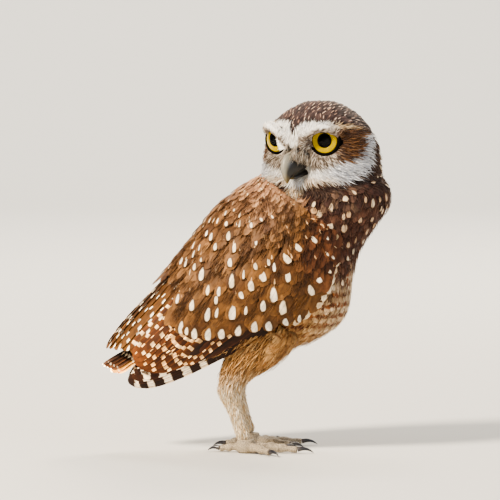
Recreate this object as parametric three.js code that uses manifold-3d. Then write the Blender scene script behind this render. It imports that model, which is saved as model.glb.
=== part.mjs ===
// A burrowing owl, life size, standing with its body turned to the right and
// its head turned back over its right shoulder. Millimetres, +Z up, the body
// heads along +X and its left side is +Y.

import * as THREE from "three";
import { mergeVertices } from "three/addons/utils/BufferGeometryUtils.js";
import Module from "manifold-3d";

const wasm = await Module();
wasm.setup();

// Gap kept between neighbouring pieces
const GAP = 0.3;

// Body: each station is one slanted section through the trunk, from the vent
// to the nape, given by its back point, its belly point (x, z), half width
// and how much narrower it is at the back than at the belly
const TORSO_STATIONS = [
  { back: [-55, 86], belly: [-43, 67], half: 12, egg: 0 },
  { back: [-45, 102], belly: [-27, 58], half: 23, egg: 0 },
  { back: [-34, 117], belly: [-7, 55], half: 32, egg: 0 },
  { back: [-23, 132], belly: [17, 58.5], half: 37.5, egg: 0 },
  { back: [-13, 145], belly: [42, 67], half: 40, egg: 0 },
  { back: [-5, 153], belly: [57, 80], half: 41, egg: 0 },
  { back: [0, 158], belly: [61, 101], half: 40.5, egg: 0.04 },
  { back: [3, 162], belly: [66, 119], half: 38, egg: 0.12 },
  { back: [5, 165.5], belly: [76, 135], half: 34.5, egg: 0.24 },
];
const TORSO_RINGS = 17;
const TORSO_SIDES = 24;

// Neck: goes on from the last torso station and ends inside the head
const NECK_STATIONS = [
  { back: [5, 165.5], belly: [76, 135], half: 34.5, egg: 0.24 },
  { back: [6, 167.5], belly: [86, 150], half: 31, egg: 0.34 },
  { back: [11, 168], belly: [83, 160.5], half: 27, egg: 0.34 },
  { back: [20, 168], belly: [74, 166.5], half: 20, egg: 0.2 },
  { back: [31, 168], belly: [62, 168], half: 12, egg: 0 },
];
const NECK_RINGS = 9;

// Head: round in plan, turned to look back past the right shoulder
const HEAD_CENTRE = { x: 42, y: -2 };
const HEAD_TURN = THREE.MathUtils.degToRad(-124);
const HEAD_LEVELS = [
  { z: 153, front: 14, rear: 16, half: 18 },
  { z: 155, front: 22.5, rear: 25, half: 28 },
  { z: 159.5, front: 27.8, rear: 32, half: 34 },
  { z: 166, front: 30, rear: 35, half: 36.8 },
  { z: 173, front: 31.5, rear: 34.8, half: 36.5 },
  { z: 180, front: 32, rear: 33.2, half: 35.2 },
  { z: 187, front: 32.5, rear: 31, half: 34.3 },
  { z: 193, front: 31.5, rear: 29.5, half: 32.6 },
  { z: 198, front: 27.5, rear: 26.5, half: 28.6 },
  { z: 202.5, front: 22, rear: 22.5, half: 23.5 },
  { z: 206.3, front: 15.5, rear: 16.5, half: 17 },
  { z: 209.2, front: 8.5, rear: 9.5, half: 9.6 },
  { z: 210.5, front: 3, rear: 4, half: 3.6 },
];
const HEAD_RINGS = 18;
const HEAD_SIDES = 24;

// Brow ridge over each eye: forward, sideways, height and radius
const BROW_PATH = [
  { forward: 29.5, side: 2.6, z: 183, radius: 1.8 },
  { forward: 31.5, side: 9, z: 191.3, radius: 3 },
  { forward: 28.6, side: 18, z: 197, radius: 3.3 },
  { forward: 22, side: 25, z: 196.2, radius: 2.2 },
  { forward: 17.8, side: 28.5, z: 194.6, radius: 0.9 },
];

// Hollow of the face round each eye
const FACE_BOWL = { radius: 19, depth: 5.2 };

// Eyes: ball radius, place in the head, and how far each looks outwards
const EYE_RADIUS = 10.5;
const EYE_FORWARD = 15.6;
const EYE_SIDE = 16;
const EYE_HEIGHT = 187.4;
const EYE_SPLAY = THREE.MathUtils.degToRad(25);
const LID_RADIUS = 8.7;
const LID_THICKNESS = 1.5;
const LID_FORWARD = 6.1;
const LID_TILT = THREE.MathUtils.degToRad(9);

// Bill: ridge and cutting edge (forward, height) with half width, root to tip
const UPPER_BILL = [
  { ridge: [25, 180], edge: [23, 170.6], half: 6.6 },
  { ridge: [33, 180.2], edge: [28, 168.9], half: 6.2 },
  { ridge: [37.4, 177.9], edge: [31, 168.2], half: 5.4 },
  { ridge: [39.7, 173.8], edge: [33, 166.8], half: 4.3 },
  { ridge: [39.7, 169], edge: [34.3, 164.9], half: 3 },
  { ridge: [38.2, 164.4], edge: [34.9, 162.5], half: 1.7 },
  { ridge: [36, 161.2], edge: [35.3, 160.9], half: 0.4 },
];
const LOWER_BILL = [
  { ridge: [21, 170.6], edge: [20, 164.4], half: 5.6 },
  { ridge: [26.4, 169.2], edge: [26, 163.6], half: 4.9 },
  { ridge: [29.6, 167.6], edge: [29.6, 162.8], half: 3.8 },
  { ridge: [32, 165.8], edge: [32, 162.4], half: 2.4 },
  { ridge: [33.6, 163.8], edge: [33.4, 163], half: 0.7 },
];
const BILL_SIDES = 14;
const NOSTRIL = { forward: 34.6, z: 175.6, radius: 0.8 };

// Wing cloak: the outer surface of a folded wing, from its tip (0) to the
// shoulder (8), by back line, underline (x, z) and half width, with the angle
// from the back at which the wing starts and ends
const WING_STATIONS = [
  { back: [-86.5, 62], belly: [-70, 34.7], half: 16, top: 7, low: 131 },
  { back: [-74, 79], belly: [-53.5, 31.5], half: 22.5, top: 4, low: 132 },
  { back: [-60, 95.5], belly: [-30, 37.5], half: 29, top: 3, low: 134 },
  { back: [-47, 111.5], belly: [-9, 45], half: 37, top: 3, low: 133 },
  { back: [-33.5, 128.5], belly: [16, 52.5], half: 42.5, top: 6, low: 131 },
  { back: [-19.5, 146], belly: [38, 62], half: 45.5, top: 12, low: 127 },
  { back: [-7.5, 156.5], belly: [56, 77], half: 46, top: 22, low: 124 },
  { back: [-1.2, 162], belly: [63, 97], half: 44.3, top: 34, low: 126 },
  { back: [2.6, 166], belly: [69.5, 117], half: 40.4, top: 48, low: 118 },
];
const WING_CORE = { from: 2.1, to: 8, rings: 8, columns: 6, depth: 8, lift: -0.9 };

// Feather tiers of one wing. Roots and tips are places on the cloak, station
// and angle in degrees, for the first and the last feather of the tier
const WING_TIERS = [
  {
    name: "primaries", count: 5, width: 14, tilt: 2, sink: -4, rise: -2.6,
    root: [[4.6, 121], [4.9, 112]], tip: [[0.0, 126], [1.8, 117]],
  },
  {
    name: "secondaries", count: 7, width: 11.5, tilt: 2, sink: -3.4, rise: -0.6,
    root: [[4.7, 110], [4.2, 66]], tip: [[2.4, 119], [0.7, 86]],
  },
  {
    name: "tertials", count: 4, width: 16, tilt: 2, sink: -3, rise: 0.8,
    root: [[4.0, 66], [3.6, 24]], tip: [[0.5, 72], [0, 18]],
  },
  {
    name: "greater coverts", count: 6, width: 13.5, tilt: 1.6, sink: -3, rise: 1.3,
    root: [[6.6, 112], [4.4, 62]], tip: [[4.9, 119], [2.3, 76]],
  },
  {
    name: "median coverts", count: 5, width: 14.5, tilt: 1.6, sink: -3, rise: 1.6,
    root: [[7.7, 110], [5.4, 60]], tip: [[6.1, 117], [3.5, 68]],
  },
  {
    name: "scapulars", count: 6, width: 15, tilt: 1.8, sink: -3, rise: 2,
    root: [[7.2, 56], [3.8, 18]], tip: [[5.2, 60], [1.5, 26]],
  },
];

// Shape of one vane from root to tip: place along it and share of its width
const VANE_PROFILE = [
  [0, 0.6],
  [0.35, 0.96],
  [0.72, 1],
  [0.92, 0.7],
  [1, 0.2],
];
const VANE_THICKNESS = 0.75;

// Tail: an arched fan of stiff feathers below the wing tips
const TAIL = {
  root: [-50, 80], tip: [-89.5, 56], archRoot: 12, archTip: 21,
  feathers: 6, spread: 54, width: 10, coreLength: 20,
};

// Legs of the bird's right side; the left ones mirror them and stand a little
// further forward
const LEG_SPREAD = 18;
const LEFT_LEG_FORWARD = 3;
const THIGH_STATIONS = [
  { x: 14, y: -2, z: 78, along: 19, across: 13 },
  { x: 4, y: -1, z: 64, along: 16, across: 12.5 },
  { x: -4.5, y: -0.5, z: 54, along: 12, across: 10.8 },
  { x: -9.5, y: 0, z: 46, along: 9.3, across: 8.8 },
  { x: -12.3, y: 0, z: 39.4, along: 7.7, across: 7.2 },
];
const TARSUS_STATIONS = [
  { x: -12.4, y: 0, z: 39, along: 7.6, across: 7.1 },
  { x: -12.2, y: 0, z: 35, along: 7, across: 6.4 },
  { x: -9.8, y: 0, z: 28, along: 5.4, across: 5 },
  { x: -6.8, y: 0, z: 18, along: 4.7, across: 4.4 },
  { x: -4, y: 0, z: 10, along: 4.9, across: 4.6 },
  { x: -3.4, y: 0, z: 8.4, along: 4.9, across: 4.7 },
];
const LEG_SIDES = 14;

// Foot: a pad under the shank, with three toes forward and one behind
const FOOT_CENTRE = -2.5;
const PAD_PROFILE = [
  [0, 4.2],
  [1.2, 5.6],
  [4.6, 6],
  [8.1, 5],
];
const TOES = [
  { name: "back", heading: 164, length: 16, claw: 9 },
  { name: "inner", heading: 24, length: 26, claw: 10.5 },
  { name: "middle", heading: -7, length: 31, claw: 11.5 },
  { name: "outer", heading: -52, length: 23, claw: 10 },
];
const TOE_RADIUS = 2.7;
const TOE_HEIGHT = 2.3;
const TOE_SIDES = 8;
const CLAW_RADIUS = 1.6;
const CLAW_SIDES = 6;

// Colours of the visible materials
const finish = (color, roughness) => new THREE.MeshStandardMaterial({ color, roughness, metalness: 0 });
const featherBrown = () => finish(0x7a4a2e, 0.85);
const featherDark = () => finish(0x4f2f1e, 0.85);
const featherCrown = () => finish(0x6a5048, 0.85);
const featherPale = () => finish(0xd9b58e, 0.9);
const hornPale = () => finish(0x8a8468, 0.45);
const irisYellow = () => finish(0xe0be1c, 0.2);
const toeSkin = () => finish(0xa79a86, 0.7);
const clawBlack = () => finish(0x2b2c33, 0.35);

// A repeatable stream of numbers between 0 and 1
function seeded(seed) {
  let state = seed;
  return () => {
    state = (state * 1664525 + 1013904223) % 4294967296;
    return state / 4294967296;
  };
}

const mix = (a, b, t) => a + (b - a) * t;

// Smooth curve through four neighbouring values
function spline(p0, p1, p2, p3, t) {
  const a = 2 * p1;
  const b = p2 - p0;
  const c = 2 * p0 - 5 * p1 + 4 * p2 - p3;
  const d = 3 * p1 - p0 - 3 * p2 + p3;
  return 0.5 * (a + b * t + c * t * t + d * t * t * t);
}

// Reads one value of a station table at a place between its rows
function between(table, place, read) {
  const last = table.length - 1;
  const at = Math.min(Math.max(place, 0), last);
  const row = Math.min(Math.floor(at), last - 1);
  const value = (index) => read(table[Math.min(Math.max(index, 0), last)]);
  const before = row > 0 ? value(row - 1) : 2 * value(0) - value(1);
  const after = row + 2 <= last ? value(row + 2) : 2 * value(last) - value(last - 1);
  return spline(before, value(row), value(row + 1), after, at - row);
}

// A point on a slanted body section, by station and angle from the back
function sectionPoint(table, place, degrees, grow = 0) {
  const backX = between(table, place, (row) => row.back[0]);
  const backZ = between(table, place, (row) => row.back[1]);
  const bellyX = between(table, place, (row) => row.belly[0]);
  const bellyZ = between(table, place, (row) => row.belly[1]);
  const half = between(table, place, (row) => row.half);
  const egg = between(table, place, (row) => row.egg ?? 0);
  const height = Math.hypot(backX - bellyX, backZ - bellyZ) / 2;
  const upX = (backX - bellyX) / (2 * height);
  const upZ = (backZ - bellyZ) / (2 * height);
  const angle = THREE.MathUtils.degToRad(degrees);
  const rise = (height + grow) * Math.cos(angle);
  return new THREE.Vector3(
    (backX + bellyX) / 2 + upX * rise,
    (half * (1 - egg * Math.cos(angle)) + grow) * Math.sin(angle),
    (backZ + bellyZ) / 2 + upZ * rise,
  );
}

// Unit normal of a section's plane, towards the head
function sectionNormal(station) {
  const upX = station.back[0] - station.belly[0];
  const upZ = station.back[1] - station.belly[1];
  return new THREE.Vector3(upZ, 0, -upX).normalize();
}

// Closed geometry from points and faces, turned so that its faces point out
function closed(points, faces) {
  let volume = 0;
  for (const [a, b, c] of faces) {
    volume += points[a].dot(points[b].clone().cross(points[c]));
  }
  const index = faces.flatMap(([a, b, c]) => (volume > 0 ? [a, b, c] : [a, c, b]));
  const geometry = new THREE.BufferGeometry();
  geometry.setAttribute("position", new THREE.Float32BufferAttribute(points.flatMap((p) => p.toArray()), 3));
  geometry.setIndex(index);
  return geometry;
}

// Closed tube through rings of points, with flat ends
function tube(rings) {
  const sides = rings[0].length;
  const points = rings.flat();
  const faces = [];
  for (let ring = 0; ring < rings.length - 1; ring += 1) {
    for (let side = 0; side < sides; side += 1) {
      const next = (side + 1) % sides;
      const a = ring * sides + side;
      const b = ring * sides + next;
      faces.push([a, b, a + sides], [b, b + sides, a + sides]);
    }
  }
  for (const ring of [0, rings.length - 1]) {
    const centre = new THREE.Vector3();
    rings[ring].forEach((point) => centre.addScaledVector(point, 1 / sides));
    const middle = points.push(centre) - 1;
    for (let side = 0; side < sides; side += 1) {
      const a = ring * sides + side;
      const b = ring * sides + ((side + 1) % sides);
      faces.push(ring === 0 ? [middle, b, a] : [middle, a, b]);
    }
  }
  return closed(points, faces);
}

// Closed sheet between two grids of points that are split into faces alike
function sheet(outer, inner) {
  const rows = outer.length;
  const columns = outer[0].length;
  const points = [...outer.flat(), ...inner.flat()];
  const below = rows * columns;
  const at = (row, column) => row * columns + column;
  const faces = [];
  const wall = (a, b) => faces.push([a, b, a + below], [b, b + below, a + below]);
  for (let row = 0; row < rows - 1; row += 1) {
    for (let column = 0; column < columns - 1; column += 1) {
      const a = at(row, column);
      const b = at(row, column + 1);
      const c = at(row + 1, column);
      const d = at(row + 1, column + 1);
      faces.push([a, b, c], [b, d, c]);
      faces.push([a + below, c + below, b + below], [b + below, c + below, d + below]);
    }
    wall(at(row + 1, columns - 1), at(row, columns - 1));
    wall(at(row, 0), at(row + 1, 0));
  }
  for (let column = 0; column < columns - 1; column += 1) {
    wall(at(0, column + 1), at(0, column));
    wall(at(rows - 1, column), at(rows - 1, column + 1));
  }
  return closed(points, faces);
}

// Ring of points across a path, flattened by two radii
function ringAcross(centre, forward, sideways, along, across, sides) {
  return Array.from({ length: sides }, (_, side) => {
    const angle = (2 * Math.PI * side) / sides;
    return centre
      .clone()
      .addScaledVector(forward, along * Math.cos(angle))
      .addScaledVector(sideways, across * Math.sin(angle));
  });
}

// Solid from a closed geometry
function solid(geometry) {
  const bare = geometry.clone();
  bare.deleteAttribute("normal");
  bare.deleteAttribute("uv");
  const merged = mergeVertices(bare, 1e-5);
  return new wasm.Manifold(
    new wasm.Mesh({
      numProp: 3,
      vertProperties: new Float32Array(merged.attributes.position.array),
      triVerts: new Uint32Array(merged.index.array),
    }),
  );
}

// Joins solids one by one
const join = (solids) => solids.reduce((sum, next) => sum.add(next));

// Cuts each of the others out of the first solid
const cut = (first, others) => others.reduce((rest, other) => rest.subtract(other), first);

// Geometry of the largest closed piece of a solid
function geometryOf(result) {
  const pieces = result.decompose();
  const largest = pieces.reduce((best, piece) => (piece.volume() > best.volume() ? piece : best));
  const mesh = largest.getMesh();
  const geometry = new THREE.BufferGeometry();
  geometry.setAttribute("position", new THREE.BufferAttribute(new Float32Array(mesh.vertProperties), 3));
  geometry.setIndex(new THREE.BufferAttribute(new Uint32Array(mesh.triVerts), 1));
  return geometry;
}

// Torso and neck

function bodyRing(table, place, grow) {
  return Array.from({ length: TORSO_SIDES }, (_, side) =>
    sectionPoint(table, place, (360 * side) / TORSO_SIDES, grow),
  );
}

function bodyTube(table, rings, grow, startShift) {
  const shift = sectionNormal(table[0]).multiplyScalar(startShift);
  const last = table.length - 1;
  const loops = Array.from({ length: rings }, (_, ring) => bodyRing(table, (last * ring) / (rings - 1), grow));
  loops[0].forEach((point) => point.add(shift));
  return tube(loops);
}

function torsoSolid(grow = 0) {
  return solid(bodyTube(TORSO_STATIONS, TORSO_RINGS, grow, -grow));
}

function neckSolid(grow = 0) {
  return solid(bodyTube(NECK_STATIONS, NECK_RINGS, grow, GAP - grow));
}

// Head

const headForward = new THREE.Vector3(Math.cos(HEAD_TURN), Math.sin(HEAD_TURN), 0);
const headLeft = new THREE.Vector3(-Math.sin(HEAD_TURN), Math.cos(HEAD_TURN), 0);

// A point in the head's own directions: forward, to its left, and height
function headPoint(forward, left, z) {
  return new THREE.Vector3(HEAD_CENTRE.x, HEAD_CENTRE.y, z)
    .addScaledVector(headForward, forward)
    .addScaledVector(headLeft, left);
}

function headRing(place, grow) {
  const z = between(HEAD_LEVELS, place, (row) => row.z);
  const front = between(HEAD_LEVELS, place, (row) => row.front) + grow;
  const rear = between(HEAD_LEVELS, place, (row) => row.rear) + grow;
  const half = between(HEAD_LEVELS, place, (row) => row.half) + grow;
  return Array.from({ length: HEAD_SIDES }, (_, side) => {
    const angle = (2 * Math.PI * side) / HEAD_SIDES;
    const depth = Math.cos(angle) > 0 ? front : rear;
    return headPoint(depth * Math.cos(angle), half * Math.sin(angle), z);
  });
}

function skullSolid(grow = 0) {
  const last = HEAD_LEVELS.length - 1;
  const rings = Array.from({ length: HEAD_RINGS }, (_, ring) => headRing((last * ring) / (HEAD_RINGS - 1), grow));
  rings[0].forEach((point) => (point.z -= grow));
  rings.at(-1).forEach((point) => (point.z += grow));
  return solid(tube(rings));
}

// Tube of varying radius through points of a table
function pathTube(points, radii, sides) {
  const curve = new THREE.CatmullRomCurve3(points);
  const count = points.length * 2 - 1;
  const rings = Array.from({ length: count }, (_, index) => {
    const t = index / (count - 1);
    const along = curve.getTangent(t);
    const sideways = new THREE.Vector3(0, 0, 1).cross(along).normalize();
    const upright = along.clone().cross(sideways);
    const radius = between(radii, t * (radii.length - 1), (value) => value);
    return ringAcross(curve.getPoint(t), sideways, upright, radius, radius, sides);
  });
  return tube(rings);
}

function browSolid(side) {
  const points = BROW_PATH.map((row) => headPoint(row.forward, side * row.side, row.z));
  return solid(pathTube(points, BROW_PATH.map((row) => row.radius), 8));
}

// Where an eye sits and which way it looks
function eyePlace(side) {
  const centre = headPoint(EYE_FORWARD, side * EYE_SIDE, EYE_HEIGHT);
  const gaze = headForward
    .clone()
    .multiplyScalar(Math.cos(EYE_SPLAY))
    .addScaledVector(headLeft, side * Math.sin(EYE_SPLAY));
  return { centre, gaze };
}

function eyeGeometry(side, grow = 0) {
  const { centre, gaze } = eyePlace(side);
  const ball = new THREE.SphereGeometry(EYE_RADIUS + grow, 16, 10);
  ball.applyQuaternion(new THREE.Quaternion().setFromUnitVectors(new THREE.Vector3(0, 1, 0), gaze));
  return ball.translate(centre.x, centre.y, centre.z);
}

function lidSolid(side) {
  const { centre, gaze } = eyePlace(side);
  const across = new THREE.Vector3(0, 0, 1).cross(gaze).normalize();
  const axis = gaze.clone().applyAxisAngle(across, LID_TILT);
  const ring = new THREE.TorusGeometry(LID_RADIUS, LID_THICKNESS, 6, 18);
  ring.applyQuaternion(new THREE.Quaternion().setFromUnitVectors(new THREE.Vector3(0, 0, 1), axis));
  const place = centre.clone().addScaledVector(gaze, LID_FORWARD);
  return solid(ring.translate(place.x, place.y, place.z));
}

function bowlSolid(side) {
  const { centre, gaze } = eyePlace(side);
  const bowl = new THREE.SphereGeometry(FACE_BOWL.radius, 18, 12);
  const reach = FACE_BOWL.radius + FACE_BOWL.depth;
  const place = centre.clone().addScaledVector(gaze, reach);
  return solid(bowl.translate(place.x, place.y, place.z));
}

function headGeometry() {
  const hollowed = cut(skullSolid(), [bowlSolid(1), bowlSolid(-1)]);
  const flesh = join([hollowed, browSolid(1), browSolid(-1), lidSolid(1), lidSolid(-1)]);
  return geometryOf(cut(flesh, [solid(eyeGeometry(1, GAP)), solid(eyeGeometry(-1, GAP))]));
}

// Bill

function billTube(table) {
  const rings = table.map((row) => {
    const [ridgeForward, ridgeZ] = row.ridge;
    const [edgeForward, edgeZ] = row.edge;
    return Array.from({ length: BILL_SIDES }, (_, index) => {
      const angle = (2 * Math.PI * index) / BILL_SIDES;
      const down = (1 - Math.cos(angle)) / 2;
      const widest = Math.sin(angle) * (0.72 + 0.4 * down);
      return headPoint(mix(ridgeForward, edgeForward, down), row.half * widest, mix(ridgeZ, edgeZ, down));
    });
  });
  return tube(rings);
}

function nostrilSolid(side) {
  const hole = new THREE.CylinderGeometry(NOSTRIL.radius, NOSTRIL.radius, 3, 8);
  hole.applyQuaternion(new THREE.Quaternion().setFromUnitVectors(new THREE.Vector3(0, 1, 0), headLeft));
  const place = headPoint(NOSTRIL.forward, side * 4.4, NOSTRIL.z);
  return solid(hole.translate(place.x, place.y, place.z));
}

// Folded wings

// A place on the right wing's outer surface, lifted off it by some millimetres
function wingPlace(place, degrees, lift = 0) {
  const point = sectionPoint(WING_STATIONS, place, degrees, lift);
  point.y = -Math.max(point.y, GAP);
  return point;
}

// One feather vane laid along a surface from root to tip
function vane(surface, root, tip, { width, sink, rise, tilt }) {
  const upper = [];
  const lower = [];
  const step = 0.02;
  for (const [along, share] of VANE_PROFILE) {
    const lift = (t) => mix(rise, sink, (1 - t) ** 2);
    const spot = (t) => surface(mix(root[0], tip[0], t), mix(root[1], tip[1], t), lift(t));
    const centre = spot(along);
    const run = spot(along + step).sub(spot(along - step)).normalize();
    const place = mix(root[0], tip[0], along);
    const degrees = mix(root[1], tip[1], along);
    const across = surface(place, degrees + 1, 0).sub(surface(place, degrees - 1, 0)).normalize();
    const normal = across.clone().cross(run).normalize();
    const outward = surface(place, degrees, 1).sub(surface(place, degrees, 0));
    if (normal.dot(outward) < 0) {
      normal.negate();
    }
    const sideways = normal.clone().cross(run).normalize();
    const thickness = VANE_THICKNESS * mix(1, 0.7, along);
    const edge = (side, depth) =>
      centre
        .clone()
        .addScaledVector(sideways, (side * share * width) / 2)
        .addScaledVector(normal, (side * tilt * share) / 2 - depth);
    upper.push([edge(-1, 0), edge(1, 0)]);
    lower.push([edge(-1, thickness), edge(1, thickness)]);
  }
  return sheet(upper, lower);
}

function wingCoreSolid() {
  const outer = [];
  const inner = [];
  for (let ring = 0; ring < WING_CORE.rings; ring += 1) {
    const place = mix(WING_CORE.from, WING_CORE.to, ring / (WING_CORE.rings - 1));
    const top = between(WING_STATIONS, place, (row) => row.top) + 2;
    const low = between(WING_STATIONS, place, (row) => row.low) - 3;
    const depth = mix(2.2, WING_CORE.depth, Math.min((place - WING_CORE.from) / 1.2, 1));
    const row = (lift) =>
      Array.from({ length: WING_CORE.columns }, (_, column) =>
        wingPlace(place, mix(top, low, column / (WING_CORE.columns - 1)), lift),
      );
    outer.push(row(WING_CORE.lift));
    inner.push(row(WING_CORE.lift - depth));
  }
  return solid(sheet(outer, inner));
}

function rightWingSolid() {
  const random = seeded(7);
  const parts = [wingCoreSolid()];
  for (const tier of WING_TIERS) {
    for (let feather = 0; feather < tier.count; feather += 1) {
      const share = feather / (tier.count - 1);
      const stray = (random() - 0.5) * 0.12;
      const spot = (ends) => [mix(ends[0][0], ends[1][0], share) + stray, mix(ends[0][1], ends[1][1], share)];
      const width = tier.width * (0.95 + 0.1 * random());
      parts.push(solid(vane(wingPlace, spot(tier.root), spot(tier.tip), { ...tier, width })));
    }
  }
  return join(parts).trimByPlane([0, -1, 0], GAP / 2);
}

// Tail

// A place on the tail's arch, by share of its length and angle from its ridge
function tailPlace(share, degrees, lift = 0) {
  const arch = mix(TAIL.archRoot, TAIL.archTip, share) + lift;
  const angle = THREE.MathUtils.degToRad(degrees);
  const x = mix(TAIL.root[0], TAIL.tip[0], share);
  const z = mix(TAIL.root[1], TAIL.tip[1], share);
  const drop = mix(TAIL.archRoot, TAIL.archTip, share);
  return new THREE.Vector3(x, arch * Math.sin(angle), z + arch * Math.cos(angle) - drop);
}

function tailSolid(grow = 0) {
  const stations = TORSO_STATIONS[0];
  const axis = new THREE.Vector3(TAIL.tip[0] - TAIL.root[0], 0, TAIL.tip[1] - TAIL.root[1]).normalize();
  const start = sectionNormal(stations).multiplyScalar(-GAP + grow);
  const rings = [0, 0.25, 0.6, 1].map((share) =>
    Array.from({ length: 18 }, (_, side) => {
      const angle = 20 * side;
      const shrink = -mix(1.2, 7.5, share) + grow;
      const point = sectionPoint(TORSO_STATIONS, 0, angle, shrink);
      return point.add(start).addScaledVector(axis, TAIL.coreLength * share);
    }),
  );
  const parts = [solid(tube(rings))];
  for (const side of [-1, 1]) {
    for (let feather = 0; feather < TAIL.feathers; feather += 1) {
      const share = feather / (TAIL.feathers - 1);
      const angle = side * mix(5, TAIL.spread, share);
      const rise = -0.3 - 0.9 * feather;
      const shape = { width: TAIL.width + grow, sink: rise - 1.2, rise, tilt: 0 };
      const tip = [1 - 0.09 * share, angle];
      parts.push(solid(vane(tailPlace, [0.12, angle * 0.6], tip, shape)));
    }
  }
  return join(parts);
}

// Legs

function legTube(stations, side, grow = 0) {
  const forward = side > 0 ? LEFT_LEG_FORWARD : 0;
  const path = stations.map(
    (row) => new THREE.Vector3(row.x + forward, side * (LEG_SPREAD - row.y), row.z),
  );
  const rings = stations.map((row, index) => {
    const before = path[Math.max(index - 1, 0)];
    const after = path[Math.min(index + 1, path.length - 1)];
    const run = after.clone().sub(before).normalize();
    const flat = index === 0 || index === path.length - 1;
    const sideways = new THREE.Vector3(0, 1, 0);
    const ahead = flat ? new THREE.Vector3(1, 0, 0) : run.clone().cross(sideways).normalize();
    return ringAcross(path[index], ahead, sideways, row.along + grow, row.across + grow, LEG_SIDES);
  });
  return tube(rings);
}

// Feet

const footX = (side) => FOOT_CENTRE + (side > 0 ? LEFT_LEG_FORWARD : 0);

function padGeometry(side, grow = 0) {
  const rings = PAD_PROFILE.map(([z, radius]) =>
    ringAcross(
      new THREE.Vector3(footX(side), side * LEG_SPREAD, z),
      new THREE.Vector3(1, 0, 0),
      new THREE.Vector3(0, 1, 0),
      radius + grow,
      radius + grow,
      LEG_SIDES,
    ),
  );
  return tube(rings);
}

// Direction of a toe on the floor; headings turn outwards for each foot
function toeDirection(toe, side) {
  const angle = THREE.MathUtils.degToRad(-side * toe.heading);
  return new THREE.Vector3(Math.cos(angle), Math.sin(angle), 0);
}

function toeGeometry(toe, side, grow = 0) {
  const direction = toeDirection(toe, side);
  const sideways = new THREE.Vector3(-direction.y, direction.x, 0);
  const upright = new THREE.Vector3(0, 0, 1);
  const joints = 3;
  const steps = 7;
  const rings = Array.from({ length: steps + 1 }, (_, step) => {
    const share = step / steps;
    const swell = 1 + 0.12 * Math.cos(2 * Math.PI * joints * share);
    const blunt = share > 0.9 ? 0.8 : 1;
    const radius = TOE_RADIUS * mix(1, 0.76, share) * swell * blunt + grow;
    const height = TOE_HEIGHT + 1.1 * Math.sin(Math.PI * share) * 0.4 + (1 - share) * 1.2;
    const centre = new THREE.Vector3(footX(side), side * LEG_SPREAD, height);
    centre.addScaledVector(direction, mix(1.5, toe.length, share));
    const ring = ringAcross(centre, sideways, upright, radius, radius, TOE_SIDES);
    ring.forEach((point) => (point.z = Math.max(point.z, 0)));
    return ring;
  });
  return tube(rings);
}

function clawGeometry(toe, side) {
  const direction = toeDirection(toe, side);
  const sideways = new THREE.Vector3(-direction.y, direction.x, 0);
  const steps = 5;
  const rings = Array.from({ length: steps + 1 }, (_, step) => {
    const share = step / steps;
    const turn = mix(0.25, -1.05, share);
    const reach = toe.length + GAP + toe.claw * (0.95 * share - 0.12 * share * share);
    const height = TOE_HEIGHT + toe.claw * (0.3 * share - 0.46 * share * share);
    const radius = CLAW_RADIUS * (1 - share) ** 0.75 + 0.14;
    const centre = new THREE.Vector3(footX(side), side * LEG_SPREAD, height).addScaledVector(direction, reach);
    const tangent = direction.clone().multiplyScalar(Math.cos(turn));
    tangent.z = Math.sin(turn);
    const upright = step === 0 ? new THREE.Vector3(0, 0, 1) : sideways.clone().cross(tangent).negate();
    const ring = ringAcross(centre, sideways, upright, radius * 0.85, radius, CLAW_SIDES);
    ring.forEach((point) => (point.z = Math.max(point.z, 0)));
    return ring;
  });
  return tube(rings);
}

// Whole bird

const owl = new THREE.Group();

function addPart(name, geometry, material) {
  const mesh = new THREE.Mesh(geometry, material);
  mesh.name = name;
  owl.add(mesh);
  return mesh;
}

const torsoClear = torsoSolid(GAP);
const skullClear = skullSolid(GAP);
const neckClear = neckSolid(GAP);
const tail = tailSolid();
const tailClear = tailSolid(2 * GAP);

addPart("torso", geometryOf(cut(torsoSolid(), [skullClear])), featherBrown());
addPart("neck", geometryOf(cut(neckSolid(), [skullClear])), featherBrown());
addPart("head", headGeometry(), featherCrown());
addPart("eye_left", geometryOf(solid(eyeGeometry(1))), irisYellow());
addPart("eye_right", geometryOf(solid(eyeGeometry(-1))), irisYellow());
addPart(
  "beak_upper",
  geometryOf(cut(solid(billTube(UPPER_BILL)), [skullClear, nostrilSolid(1), nostrilSolid(-1)])),
  hornPale(),
);
addPart("beak_lower", geometryOf(cut(solid(billTube(LOWER_BILL)), [skullClear])), hornPale());
addPart("tail", geometryOf(tail), featherDark());

const rightWing = cut(rightWingSolid(), [torsoClear, neckClear, skullClear, tailClear]);

for (const [label, side] of [["right", -1], ["left", 1]]) {
  const wing = side < 0 ? rightWing : rightWing.mirror([0, 1, 0]);
  const thighClear = solid(legTube(THIGH_STATIONS, side, GAP));
  addPart(`wing_${label}`, geometryOf(cut(wing, [thighClear])), featherBrown());
  addPart(`thigh_${label}`, geometryOf(cut(solid(legTube(THIGH_STATIONS, side)), [torsoClear])), featherPale());
  addPart(`tarsus_${label}`, legTube(TARSUS_STATIONS, side), featherPale());
  addPart(`foot_${label}`, padGeometry(side), toeSkin());
  const neighbours = [solid(padGeometry(side, GAP))];
  for (const toe of TOES) {
    addPart(`toe_${label}_${toe.name}`, geometryOf(cut(solid(toeGeometry(toe, side)), neighbours)), toeSkin());
    neighbours.push(solid(toeGeometry(toe, side, GAP)));
    addPart(`claw_${label}_${toe.name}`, clawGeometry(toe, side), clawBlack());
  }
}

// Stand the bird on the floor with its middle over the origin
const bounds = new THREE.Box3().setFromObject(owl);
const middle = bounds.getCenter(new THREE.Vector3());
owl.position.set(-middle.x, -middle.y, -bounds.min.z);

export default owl;
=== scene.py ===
"""A life-size burrowing owl as a museum shows it: skin, plumage, bill, eyes and feet.

Shapes are worked out in millimetres in the bird's own frame, in which the body heads
along +X and its left side is +Y, and are written to the meshes in metres.
"""

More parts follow.
